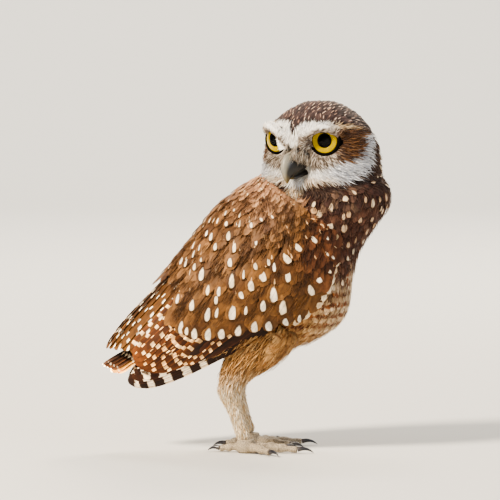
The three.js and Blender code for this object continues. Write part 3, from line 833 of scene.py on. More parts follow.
    def trace(
        self, roots: Array, normals: Array, length: Array, lie: "Lie", steps: int, sway: Array
    ) -> tuple[Array, Array]:
        """Follows the skin from each root along the lie of the feathers.

        Args:
            roots: Root points.
            normals: Skin normals at the roots.
            length: Feather lengths.
            lie: The direction that feathers take.
            steps: Points of each line.
            sway: Turn of each feather from the lie, in radians.

        Returns:
            Points on the skin and normals, by feather and step.
        """
        line, outward = [roots], [normals]
        for _ in range(steps - 1):
            run = lie.direction(line[-1], outward[-1])
            aside = np.cross(outward[-1], run)
            run = run * np.cos(sway)[:, None] + aside * np.sin(sway)[:, None]
            ahead = line[-1] + run * (length / (steps - 1))[:, None]
            spot, facing = self.nearest(ahead)
            line.append(spot)
            outward.append(unit(outward[-1] * 0.45 + facing))
        return np.stack(line, axis=1), np.stack(outward, axis=1)


def thin_out(spots: Array, gap: Array) -> Array:
    """Keeps points that are no closer to each other than a gap.

    Args:
        spots: Points in random order.
        gap: The gap at each.

    Returns:
        Numbers of the kept points.
    """
    cell = float(gap.max())
    keys = np.floor(spots / cell).astype(int)
    near = [(i, j, k) for i in (-1, 0, 1) for j in (-1, 0, 1) for k in (-1, 0, 1)]
    cells: dict[tuple[int, int, int], list[tuple[float, float, float]]] = {}
    kept = []
    for number, ((x, y, z), (i, j, k)) in enumerate(zip(spots.tolist(), keys.tolist())):
        limit = gap[number] ** 2
        crowded = any(
            (x - p) ** 2 + (y - q) ** 2 + (z - r) ** 2 < limit
            for di, dj, dk in near
            for p, q, r in cells.get((i + di, j + dj, k + dk), ())
        )
        if not crowded:
            kept.append(number)
            cells.setdefault((i, j, k), []).append((x, y, z))
    return np.array(kept, int)


@dataclass(frozen=True)
class Lie:
    """The lie of the coat: a leading direction on trunk and legs, and rays over the head."""

    trunk: tuple[float, float, float] = (-0.66, 0.0, -0.75)

    def direction(self, points: Array, normals: Array) -> Array:
        """Finds the direction that feathers take at points of the skin.

        Args:
            points: Points on the skin.
            normals: Skin normals there.

        Returns:
            Unit directions along the skin.
        """
        x, y, z = points.T
        lead = np.tile(np.array(self.trunk), (len(points), 1))
        front = ease(10, 45, x) * ease(60, 100, z)
        lead = mix(lead, np.array([-0.15, 0.0, -1.0]), (0.75 * front)[:, None])
        neck = ease(130, 152, z)
        lead = mix(lead, np.array([-0.25, 0.0, -1.0]), (0.6 * neck)[:, None])
        leg = ease(58, 44, z) * ease(-40, -25, x)
        lead = mix(lead, np.array([-0.45, 0.0, -0.9]), leg[:, None])
        shank = ease(42, 36, z) * ease(-40, -25, x)
        lead = mix(lead, np.array([0.2, 0.0, -1.0]), shank[:, None])
        head = ease(152, 158, z) * ease(48, 42, np.hypot(x - HEAD_CENTRE[0], y - HEAD_CENTRE[1]))
        lead = mix(lead, self._over_head(points), head[:, None])
        flat = lead - normals * np.einsum("ij,ij->i", lead, normals)[:, None]
        return unit(flat)

    @staticmethod
    def _over_head(points: Array) -> Array:
        """Rays from the bill over the head, bent away from each eye and down the nape.

        Args:
            points: Points, in millimetres.

        Returns:
            Directions of the feathers.
        """
        bearing, z = head_polar(points)
        source = head_point(30, 0, 181)
        lead = unit(points - source)
        nape = ease(70, 150, np.abs(bearing))
        lead = mix(lead, np.array([0.0, 0.0, -1.0]) - 0.3 * HEAD_FORWARD, (0.75 * nape)[:, None])
        lead = mix(lead, -HEAD_FORWARD, ease(194, 205, z)[:, None])
        for side in Side:
            eye = Eye(side)
            away = points - eye.centre
            flat = away - eye.gaze * (away @ eye.gaze)[:, None]
            reach = np.linalg.norm(flat, axis=1)
            near = ease(22, 11, reach) * ((away @ eye.gaze) > 0)
            lead = mix(lead, unit(flat) + 0.35 * unit(lead), (0.8 * near)[:, None])
        return lead


# Feathers


@dataclass
class Strands:
    """A set of feathers as lines, by feather and step, and what each feather carries."""

    shaft: Array
    outward: Array
    width: Array | float
    patch: Array
    paint: dict[str, Array]

    @property
    def length(self) -> Array:
        """Length along each shaft."""
        return np.linalg.norm(np.diff(self.shaft, axis=1), axis=2).sum(axis=1)

    @property
    def widths(self) -> Array:
        """Width of each feather."""
        return np.broadcast_to(self.width, len(self.shaft))


# Size of one feather's patch on the unwrap
PATCH_SIZE = 0.003


@dataclass(frozen=True)
class Vane:
    """The form of one kind of flat feather; camber, tilt and fray are shares of the half width."""

    rows: int = 8
    columns: int = 5
    outline: tuple[tuple[float, float], ...] = (
        (0, 0.3), (0.15, 0.62), (0.4, 0.95), (0.62, 1), (0.8, 0.88), (0.92, 0.6), (1, 0.12),
    )
    shaft: float = 0.5
    camber: float = 0.1
    tilt: float = 0.05
    fray: float = 0.04
    thickness: float = 0.22

    def grow(self, draft: Draft, strands: Strands, seed: int, mirror: float = 1.0) -> None:
        """Adds feathers to a draft, each a closed thin leaf.

        Args:
            draft: The mesh to add to.
            strands: The feathers.
            seed: Starts the random numbers.
            mirror: -1 swaps the two webs.
        """
        random = np.random.default_rng(seed)
        shaft, outward = strands.shaft, strands.outward
        count, steps, _ = shaft.shape
        rows, columns = self.rows, self.columns
        # Rows stand closer together towards the tip
        t = 1 - (1 - np.linspace(0, 1, rows)) ** 1.35
        at = t * (steps - 1)
        low = np.minimum(at.astype(int), steps - 2)
        part = (at - low)[None, :, None]
        spine = mix(shaft[:, low], shaft[:, low + 1], part)
        upright = unit(mix(outward[:, low], outward[:, low + 1], part))
        across = unit(np.cross(upright, unit(np.gradient(spine, axis=1)))) * mirror
        share = np.interp(t, *np.array(self.outline).T)[None, :, None]
        web = np.linspace(-1, 1, columns)
        reach = np.where(web < 0, 2 * self.shaft, 2 * (1 - self.shaft)) * web
        half = strands.widths[:, None, None] / 2
        rim = np.zeros((rows, columns), bool)
        rim[[0, -1]] = True
        rim[:, [0, -1]] = True
        torn = 1 - self.fray * random.random((count, rows, columns)) * (rim & (t > 0.3)[:, None])
        x = reach * share * half * torn
        rise = -self.camber * web**2 * half * share + self.tilt * web * half * share
        top = spine[:, :, None] + across[:, :, None] * x[..., None] + upright[:, :, None] * rise[..., None]
        under = top - upright[:, :, None] * self.thickness
        inner = ~rim
        points = np.concatenate([top.reshape(count, -1, 3), under[:, inner]], axis=1)
        number = np.arange(rows * columns)
        number[inner.ravel()] = rows * columns + np.arange(inner.sum())
        quads = grid_quads(rows, columns)
        faces = np.vstack([quads[:, ::-1], number[quads]])
        if mirror < 0:
            faces = faces[:, ::-1]
        size = points.shape[1]
        faces = faces + (np.arange(count) * size)[:, None, None]
        length = strands.length[:, None, None]
        luck = random.random(count)[:, None, None]
        marks = {
            "vane": np.stack(np.broadcast_arrays(web, t[:, None], luck), axis=-1),
            "span": np.stack(np.broadcast_arrays(x, (1 - t[:, None]) * length, length), axis=-1),
        }
        values = {
            name: np.concatenate([mark.reshape(count, -1, 3), mark[:, inner]], axis=1).reshape(-1, 3)
            for name, mark in marks.items()
        }
        for name, value in strands.paint.items():
            values[name] = np.repeat(value, size, axis=0)
        local = np.stack([values["vane"][:, 0] / 2, values["vane"][:, 1] - 0.5], axis=-1) * PATCH_SIZE
        values["patch"] = np.repeat(strands.patch, size, axis=0) + local
        edge = np.zeros((count, size))
        edge[:, :rows * columns] = rim.ravel()
        draft.add(points.reshape(-1, 3), faces.reshape(-1, 4), **values, rim=edge.reshape(-1, 1))

    def fringe(self, draft: Draft, strands: Strands, seed: int, barbs: int) -> None:
        """Adds loose barbs that stick out past the rim near the tip.

        Args:
            draft: The mesh to add to.
            strands: The feathers.
            seed: Starts the random numbers.
            barbs: Loose barbs of each feather.
        """
        random = np.random.default_rng(seed + 500)
        shaft, outward, width = strands.shaft, strands.outward, strands.widths[:, None]
        count, steps, _ = shaft.shape
        share = 1 - 0.42 * random.random((count, barbs)) ** 1.2
        web = np.sign(random.random((count, barbs)) - 0.5) * (0.55 + 0.4 * random.random((count, barbs)))
        web = web * ease(1.0, 0.94, share)
        at = share * (steps - 1)
        low = np.minimum(at.astype(int), steps - 2)
        part = (at - low)[..., None]
        row = np.arange(count)[:, None]
        spot = mix(shaft[row, low], shaft[row, low + 1], part)
        upright = unit(mix(outward[row, low], outward[row, low + 1], part))
        run = unit(shaft[row, low + 1] - shaft[row, low])
        across = unit(np.cross(upright, run))
        reach = np.interp(share, *np.array(self.outline).T) * width / 2
        x = reach * web
        start = spot + across * x[..., None] - upright * (self.camber * web**2 * reach)[..., None]
        angle = np.sign(web) * (0.35 + 0.5 * random.random((count, barbs)))
        aim = run * np.cos(angle)[..., None] + across * np.sin(angle)[..., None]
        length = (1.6 + 1.5 * random.random((count, barbs))) * (width / 8)
        t = np.linspace(0, 1, 3)
        droop = upright * (-0.12 * length)[..., None]
        hair = start[..., None, :] + (aim * length[..., None])[..., None, :] * t[:, None]
        hair = (hair + droop[..., None, :] * (t**2)[:, None]).reshape(-1, 3, 3)
        total = strands.length[:, None]
        luck = random.random((count, 1))
        home = np.broadcast_arrays(x, (1 - share) * total, total, web, share, luck)
        home = np.stack(home, axis=-1).reshape(-1, 6)
        facing = np.repeat(upright.reshape(-1, 1, 3), 3, axis=1)
        paint = {name: np.repeat(value, barbs, axis=0) for name, value in strands.paint.items()}
        loose = Strands(hair, facing, 0.34, np.repeat(strands.patch, barbs, axis=0), paint)
        Barb().grow(draft, loose, seed, home)


@dataclass(frozen=True)
class Barb:
    """The form of one kind of hair-like feather: a slender curved spike."""

    curl: float = 0.0

    def grow(self, draft: Draft, strands: Strands, seed: int, home: Array | None = None) -> None:
        """Adds spikes to a draft.

        Args:
            draft: The mesh to add to.
            strands: The spikes.
            seed: Starts the random numbers.
            home: Where each spike leaves a feather, for its marks: place across, distance
                from the tip, feather length, web, share and luck.
        """
        random = np.random.default_rng(seed)
        shaft, outward = strands.shaft, strands.outward
        count, steps, _ = shaft.shape
        across = unit(np.cross(outward, unit(np.gradient(shaft, axis=1))))
        sway = random.normal(0, self.curl, (count, 1, 1)) if self.curl else 0
        length = strands.length[:, None]
        t = np.linspace(0, 1, steps)
        shaft = shaft + across * (sway * (t**2)[None, :, None] * length[..., None])
        thick = np.interp(t, [0, 0.35, 0.75, 1], [0.7, 1, 0.62, 0.0])[None, :-1, None]
        angle = turns(3) + math.pi / 2
        width = strands.widths[:, None, None]
        wide = np.cos(angle) * thick * width / 2
        high = np.sin(angle) * thick * width / 4
        rings = shaft[:, :-1, None] + across[:, :-1, None] * wide[..., None]
        rings = rings + outward[:, :-1, None] * high[..., None]
        points = np.concatenate([rings.reshape(count, -1, 3), shaft[:, -1:]], axis=1)
        size = points.shape[1]
        quads = grid_quads(steps - 1, 3, wrap=True)[:, ::-1]
        base = (steps - 2) * 3
        tris = np.array([[0, 1, 2]] + [[base + (k + 1) % 3, base + k, size - 1] for k in range(3)])
        shift = (np.arange(count) * size)[:, None, None]
        share = np.concatenate([np.repeat(t[:-1], 3), [1.0]])
        luck = random.random(count)[:, None]
        values = {name: np.repeat(value, size, axis=0) for name, value in strands.paint.items()}
        if home is None:
            marks = np.broadcast_arrays(0.0, (1 - share) * length, length, 0.0, share, luck)
            marks = np.stack(marks, axis=-1).reshape(-1, 6)
        else:
            marks = np.repeat(home, size, axis=0)
        local = np.stack([np.zeros(size), share - 0.5], axis=-1) * PATCH_SIZE
        patch = (strands.patch[:, None] + local).reshape(-1, 2)
        draft.add(
            points.reshape(-1, 3), (quads + shift).reshape(-1, 4), (tris + shift).reshape(-1, 3), **values,
            span=marks[:, :3], vane=marks[:, 3:], patch=patch, rim=np.zeros((count * size, 1)),
        )


def tint(colour: Array, last: Array | float) -> Array:
    """Adds a fourth value to colours."""
    return np.concatenate([colour, np.broadcast_to(np.asarray(last, float), (len(colour),))[:, None]], axis=1)


def pick(codes: tuple[str, ...], choice: Array) -> Array:
    """Blends along a row of hex colours by numbers from 0 to 1.

    Args:
        codes: Hex colours.
        choice: Numbers from 0 to 1.

    Returns:
        A colour for each number.
    """
    table = np.array([srgb(code) for code in codes])
    at = np.clip(choice, 0, 1) * (len(table) - 1)
    low = np.minimum(at.astype(int), len(table) - 2)
    return mix(table[low], table[low + 1], (at - low)[:, None])


# Bill, eyes, feet


@dataclass(frozen=True)
class Eye:
    """Where one eye sits and which way it looks."""

    side: Side
    forward: float = 15.6
    sideways: float = 15.5
    height: float = 187.4
    splay: tuple[float, float] = (math.radians(12), math.radians(18))

    @property
    def centre(self) -> Array:
        """The middle of the ball."""
        return head_point(self.forward, self.side.value * self.sideways, self.height)

    @property
    def gaze(self) -> Array:
        """The direction it looks in."""
        turn = self.splay[self.side is Side.LEFT] * self.side.value
        return HEAD_FORWARD * math.cos(turn) + HEAD_LEFT * math.sin(turn)

    @property
    def across(self) -> Array:
        """Level direction to the bird's left, square to the gaze."""
        return unit(np.cross(UP, self.gaze))

    def disc(self, angle: Array, reach: Array, ahead: Array) -> Array:
        """Finds points by angle round the gaze, reach from it and distance ahead of the centre."""
        flat = np.cos(angle)[..., None] * self.across + np.sin(angle)[..., None] * UP
        return self.centre + flat * reach[..., None] + self.gaze * ahead[..., None]


@dataclass
class EyeBuilder:
    """One eye: a dark ball with a flat iris and the bulge of the lens, under a clear cornea."""

    iris_radius: float = 7.6
    pupil_radius: float = 4.0
    iris_ahead: float = 6.7
    ball_radius: float = 10.1
    cornea_bulge: float = 10.45
    sides: int = 72
    # Front of the lens, which fills the pupil: reach and distance ahead
    lens: tuple[tuple[float, float], ...] = (
        (0.02, 6.5), (1.0, 6.4), (2.0, 6.15), (3.0, 5.7), (3.8, 5.2), (4.0, 6.5),
    )

    def _lathe(self, eye: Eye, profile: list[tuple[float, float]], name: str) -> Piece:
        """Turns a profile of reach and distance ahead round the gaze.

        Args:
            eye: The eye.
            profile: Reach and distance ahead of each ring.
            name: The piece's name.

        Returns:
            The piece.
        """
        reach, ahead = (np.tile(column[:, None], self.sides) for column in np.array(profile).T)
        draft = Draft()
        draft.add(*tube(eye.disc(np.broadcast_to(turns(self.sides), reach.shape), reach, ahead)))
        return draft.build(name)

    def build(self, side: Side) -> list[Piece]:
        """Builds ball and cornea.

        Args:
            side: Which eye.

        Returns:
            The two pieces.
        """
        eye = Eye(side)
        edge = self.pupil_radius + 0.12
        profile = [*self.lens, (edge, self.iris_ahead)]
        profile += [(mix(edge, self.iris_radius, share), self.iris_ahead + 0.12 * math.sin(math.pi * share))
                    for share in np.linspace(0.1, 1, 8)]
        start = math.asin((self.iris_radius + 0.15) / self.ball_radius)
        for angle in np.linspace(start, math.pi - 0.02, 26):
            ahead = self.ball_radius * math.cos(angle)
            # Beside the iris the ball is cut level with it
            ahead = ahead if angle > start + 0.12 else min(ahead, self.iris_ahead)
            profile.append((self.ball_radius * math.sin(angle), ahead))
        dome = [(self.cornea_bulge * math.sin(angle), self.cornea_bulge * math.cos(angle))
                for angle in np.linspace(0.004, math.pi - 0.004, 48)]
        ball = dress([self._lathe(eye, profile, f"eyeball_{side.title}")], Iris(f"iris_{side.title}", side))
        cornea = dress([self._lathe(eye, dome, f"cornea_{side.title}")], Cornea())
        cornea[0].visible_shadow = cornea[0].visible_diffuse = False
        return ball + cornea


@dataclass
class Lids:
    """The bare rims of the lids: an almond round each eye, with a beaded edge."""

    thickness: float = 1.6
    steps: int = 120
    sides: int = 10
    # The sphere that the rims lie on, and how far from the gaze it is followed
    sphere: float = 10.75
    follow: float = 10.2
    # Each roll of the rim: how far out, how far forward, how thick
    rolls: tuple[tuple[float, float, float], ...] = ((0.0, -0.1, 1.0), (1.0, 0.0, 1.0), (1.8, -0.3, 0.9))
    # Reach of the opening by angle from the ear side over the top
    opening: tuple[tuple[float, float], ...] = (
        (0, 8.1), (20, 8.3), (35, 7.5), (50, 5.9), (70, 4.9), (90, 4.65), (110, 4.9), (130, 5.9),
        (145, 7.4), (160, 8.5), (180, 9.0), (200, 8.5), (222, 7.8), (250, 7.5), (270, 7.5), (300, 7.5),
        (330, 7.8), (348, 8.0), (360, 8.1),
    )

    def reach(self, angle: Array) -> Array:
        """How far the rim lies from the gaze, by angle from the ear side (0) over the top (90 degrees)."""
        return np.interp(np.degrees(angle) % 360, *np.array(self.opening).T) + 0.5 * self.thickness

    def build(self) -> Piece:
        """Builds the rims of both eyes.

        Returns:
            The piece.
        """
        draft = Draft()
        angle = turns(self.steps)
        turn = turns(self.sides)[None, :, None]
        for side in Side:
            eye = Eye(side)
            turned = angle if side is Side.LEFT else math.pi - angle
            for grow, inset, scale in self.rolls:
                reach = self.reach(angle) + grow
                ahead = np.sqrt(np.maximum(self.sphere**2 - np.minimum(reach, self.follow) ** 2, 6)) + inset
                path = eye.disc(turned, reach, ahead)
                outward = unit(path - eye.centre)
                run = unit(np.roll(path, -1, axis=0) - np.roll(path, 1, axis=0))
                sideways = np.cross(outward, run)
                beads = 1 + (0.12 * np.sin(angle * 34) if grow else 0 * angle)
                radius = (self.thickness * scale * beads)[:, None, None] * 0.62
                ring = path[:, None] + sideways[:, None] * np.cos(turn) * radius
                ring = ring + outward[:, None] * np.sin(turn) * radius
                # The first ring once more closes the loop
                faces = grid_quads(self.steps + 1, self.sides, wrap=True) % (self.steps * self.sides)
                points = ring.reshape(-1, 3)
                a, b, c = corners_of(points, faces)
                middle = np.repeat(path, self.sides, axis=0)[faces[:, 0]]
                if np.einsum("ij,ij->", np.cross(b - a, c - a), a - middle) < 0:
                    faces = faces[:, ::-1]
                draft.add(points, faces)
        return dress([draft.build("eye_lids")], LidSkin())[0]


# Bill halves: ridge forward and height, edge forward and height, half width
UPPER_BILL = np.array([
    [22, 179.5, 20, 171.8, 7.3],
    [29, 180.6, 25, 170, 7.2],
    [34.2, 180.2, 28.8, 168.6, 6.2],
    [38.2, 177.8, 31.4, 167.4, 5.1],
    [40.4, 173.8, 33.2, 166.2, 4.0],
    [40.4, 169.6, 34.6, 165, 2.8],
    [38.7, 165.4, 35.3, 163.4, 1.7],
    [36.2, 162.2, 35.6, 161.9, 0.4],
])
LOWER_BILL = np.array([
    [19, 171.6, 18, 167.4, 6.6],
    [24, 170.2, 23.4, 166, 5.8],
    [28, 168.4, 27.6, 165, 4.3],
    [31, 166.8, 30.8, 164.4, 2.7],
    [33.0, 165.2, 32.8, 164.2, 0.8],
])


@dataclass
class Bill:
    """The hooked bill: upper and lower half, nostrils pressed into the upper one."""

    sides: int = 44
    rings: int = 60
    nostril: tuple[float, float] = (33.2, 175.6)
    nostril_radius: float = 1.15
    nostril_depth: float = 1.1

    def _half(self, table: Array, name: str) -> Piece:
        """Builds one half from its table of ridge, edge and half width.

        Args:
            table: The stations.
            name: The piece's name.

        Returns:
            The piece.
        """
        rows = between(table, np.linspace(0, len(table) - 1, self.rings))
        angle = turns(self.sides)[None, :]
        down = (1 - np.cos(angle)) / 2
        # The lower half of each ring is squarer
        square = np.where(down > 0.5, 0.42, 1.0)
        widest = np.sign(np.sin(angle)) * np.abs(np.sin(angle)) ** square * (0.62 + 0.5 * down)
        forward = mix(rows[:, 0:1], rows[:, 2:3], down)
        z = mix(rows[:, 1:2], rows[:, 3:4], down)
        side = np.maximum(rows[:, 4:5], 0.05) * widest
        near = np.hypot(forward - self.nostril[0], z - self.nostril[1]) / self.nostril_radius
        pit = ease(1.25, 0.55, near) if table is UPPER_BILL else 0 * near
        side = side * (1 - pit * self.nostril_depth / np.maximum(np.abs(side), 1.2))
        points = head_point(forward, side, z)
        # The third value marks the nostril pits, which the finish paints near black as painted shade
        shade = np.stack([down + 0 * z, np.linspace(0, 1, self.rings)[:, None] + 0 * z, pit], axis=-1)
        draft = Draft()
        mesh_points, quads, tris = tube(points)
        ends = np.vstack([shade.reshape(-1, 3), shade[0].mean(axis=0), shade[-1].mean(axis=0)])
        draft.add(mesh_points, quads, tris, horn=ends)
        return draft.build(name)

    def build(self) -> list[Piece]:
        """Builds both halves.

        Returns:
            The two pieces.
        """
        return dress([self._half(UPPER_BILL, "bill_upper"), self._half(LOWER_BILL, "bill_lower")], BillHorn())


class Toe(Enum):
    """The toes: heading in degrees, length and claw length in millimetres."""

    BACK = (164, 16, 9)
    INNER = (24, 26, 10.5)
    MIDDLE = (-7, 31, 11.5)
    OUTER = (-52, 23, 10)


@dataclass
class Feet:
    """Feet and claws."""

    centre: float = -2.5
    # Heights of the pad under the shank, and its radius there
    pad: tuple[tuple[float, float], ...] = (
        (0.12, 4.2), (1.2, 5.5), (3, 5.9), (4.6, 5.9), (6.4, 5.4), (8.3, 4.9),
    )
    toe_radius: float = 2.7
    toe_height: float = 2.3
    claw_radius: float = 1.6
    voxel: float = 0.42

    def _place(self, toe: Toe, side: Side) -> tuple[Array, Array, Array]:
        """Finds a toe's start, direction and sideways direction.

        Args:
            toe: Which toe.
            side: Which side.

        Returns:
            Start, run and sideways direction.
        """
        angle = math.radians(-side.value * toe.value[0])
        run = np.array([math.cos(angle), math.sin(angle), 0])
        start = np.array([self.centre + STEP[side], side.value * STANCE, 0.0])
        return start, run, np.array([-run[1], run[0], 0.0])

    def _foot(self, side: Side) -> Piece:
        """Joins pad and toes of one foot, with joint pads and scutes.

        Args:
            side: Which side.

        Returns:
            The piece.
        """
        draft = Draft()
        for toe in Toe:
            start, run, sideways = self._place(toe, side)
            share = np.linspace(0, 1, 40)
            swell = 1 + 0.15 * np.cos(2 * math.pi * 3 * share)
            radius = self.toe_radius * mix(1, 0.76, share) * swell * np.where(share > 0.94, 0.86, 1) - 0.1
            height = self.toe_height + 0.44 * np.sin(math.pi * share) + (1 - share) * 1.2
            reach = mix(-1.0, toe.value[1] - 0.15, share)
            angle = turns(28)
            scutes = np.abs(np.sin(math.pi * reach / 1.5))[:, None] * ease(0.2, 0.8, np.sin(angle))[None]
            scutes = 1 + 0.035 * scutes
            ring = (
                (start + run * reach[:, None])[:, None]
                + sideways * (np.cos(angle) * radius[:, None])[..., None]
                + UP * (height[:, None] + np.sin(angle) * radius[:, None] * scutes)[..., None]
            )
            ring[..., 2] = np.maximum(ring[..., 2], 0.12)
            draft.add(*tube(ring))
        angle = turns(32)
        z, radius = (column[:, None] for column in np.array(self.pad).T)
        x, y = self.centre + STEP[side] + np.cos(angle) * radius, side.value * STANCE + np.sin(angle) * radius
        draft.add(*tube(np.stack(np.broadcast_arrays(x, y, z), axis=-1)))
        piece = draft.build(f"foot_{side.title}_skin")
        remesh = piece.modifiers.new("join", "REMESH")
        remesh.mode = "VOXEL"
        remesh.voxel_size = self.voxel * MM
        remesh.use_smooth_shade = True
        smooth = piece.modifiers.new("soften", "SMOOTH")
        smooth.iterations = 3
        applied(piece)
        points = read_points(piece.data)
        points[:, 2] = np.maximum(points[:, 2], 0)
        piece.data.vertices.foreach_set("co", points.ravel())
        return dress([piece], ToeSkin())[0]

    def _claws(self, side: Side) -> Piece:
        """Builds the claws of one foot.

        Args:
            side: Which side.

        Returns:
            The piece.
        """
        draft = Draft()
        for toe in Toe:
            start, run, sideways = self._place(toe, side)
            share = np.linspace(0, 1, 28)
            length, claw = toe.value[1:]
            reach = length + 0.25 + claw * (0.95 * share - 0.12 * share**2)
            height = self.toe_height + claw * (0.3 * share - 0.46 * share**2)
            radius = self.claw_radius * (1 - share) ** 0.75 + 0.05
            turn = mix(0.25, -1.05, share)
            forward = run * np.cos(turn)[:, None] + UP * np.sin(turn)[:, None]
            upright = np.cross(forward, sideways)
            angle = turns(20)
            under = np.where(np.sin(angle) < 0, 0.82, 1.0)
            ring = (
                (start + run * reach[:, None] + UP * height[:, None])[:, None]
                + sideways * (np.cos(angle) * radius[:, None] * 0.82)[..., None]
                + upright[:, None] * (np.sin(angle) * under * radius[:, None])[..., None]
            )
            ring[..., 2] = np.maximum(ring[..., 2], 0.02)
            points, quads, tris = tube(ring)
            horn = np.zeros((28, 20, 3))
            horn[..., 1] = share[:, None]
            ends = np.vstack([horn.reshape(-1, 3), horn[0, :1, :], horn[-1, :1, :]])
            draft.add(points, quads, tris, horn=ends)
        return dress([draft.build(f"claws_{side.title}")], ClawHorn())[0]

    def build(self) -> list[Piece]:
        """Builds feet and claws.

        Returns:
            Right foot, right claws, left foot, left claws.
        """
        return [piece for side in Side for piece in (self._foot(side), self._claws(side))]


def applied(piece: Piece) -> None:
    """Applies the modifiers of a piece.

    Args:
        piece: The piece.
    """
    mesh = bpy.data.meshes.new_from_object(piece.evaluated_get(bpy.context.evaluated_depsgraph_get()))
    old = piece.data
    piece.modifiers.clear()
    piece.data = mesh
    bpy.data.meshes.remove(old)


# Finishes

# The property of a node that the mode in its kind sets
MODES = {
    "Math": "operation", "VectorMath": "operation", "MapRange": "interpolation_type", "Mix": "data_type",
    "TexVoronoi": "feature", "Attribute": "attribute_name",
}


def add_node(
    tree: bpy.types.NodeTree, kind: str, *inputs: object, out: int | str = 0,
    named: dict[str, object] | None = None, **settings: object,
) -> Socket:
    """Adds a node with its settings and links.

    Args:
        tree: The material's tree.
        kind: The node's type without its "ShaderNode", then its mode after a stroke.
        *inputs: Numbers, colours or sockets for the inputs in use, in order.
        out: The output in use to hand back, by number or name.
        named: More inputs, by name.
        **settings: Properties of the node.

    Returns:
        The output socket.
    """
    title, _, mode = kind.partition("/")
    made = tree.nodes.new("ShaderNode" + title)
    if mode:
        settings[MODES[title]] = mode
    for name, value in settings.items():
        setattr(made, name, value)
    used = [socket for socket in made.inputs if socket.enabled]
    by_name = [(made.inputs[name], value) for name, value in (named or {}).items()]
    for socket, value in [*zip(used, inputs), *by_name]:
        if isinstance(value, Socket):
            tree.links.new(value, socket)
        else:
            socket.default_value = value
    if isinstance(out, str):
        return made.outputs[out]
    return next((socket for socket in made.outputs if socket.enabled), None)


def rgba(code: str) -> tuple[float, float, float, float]:
    """Turns a hex colour into what a colour socket takes."""
    return (*srgb(code).tolist(), 1.0)


@dataclass(frozen=True)
class Finish:
    """One material. Each kind of finish says what its shader's inputs are."""

    name: str

    def inputs(self, node: Callable[..., Socket]) -> dict[str, object]:
        """Lays out the nodes with a function that adds one, and names the shader's inputs."""
        raise NotImplementedError

    def make(self) -> bpy.types.Material:
        """Makes the material."""
        material = bpy.data.materials.new(self.name)
        material.use_nodes = True
        material.node_tree.nodes.clear()
        node = partial(add_node, material.node_tree)
        node("OutputMaterial", node("BsdfPrincipled", named=self.inputs(node)))
        return material


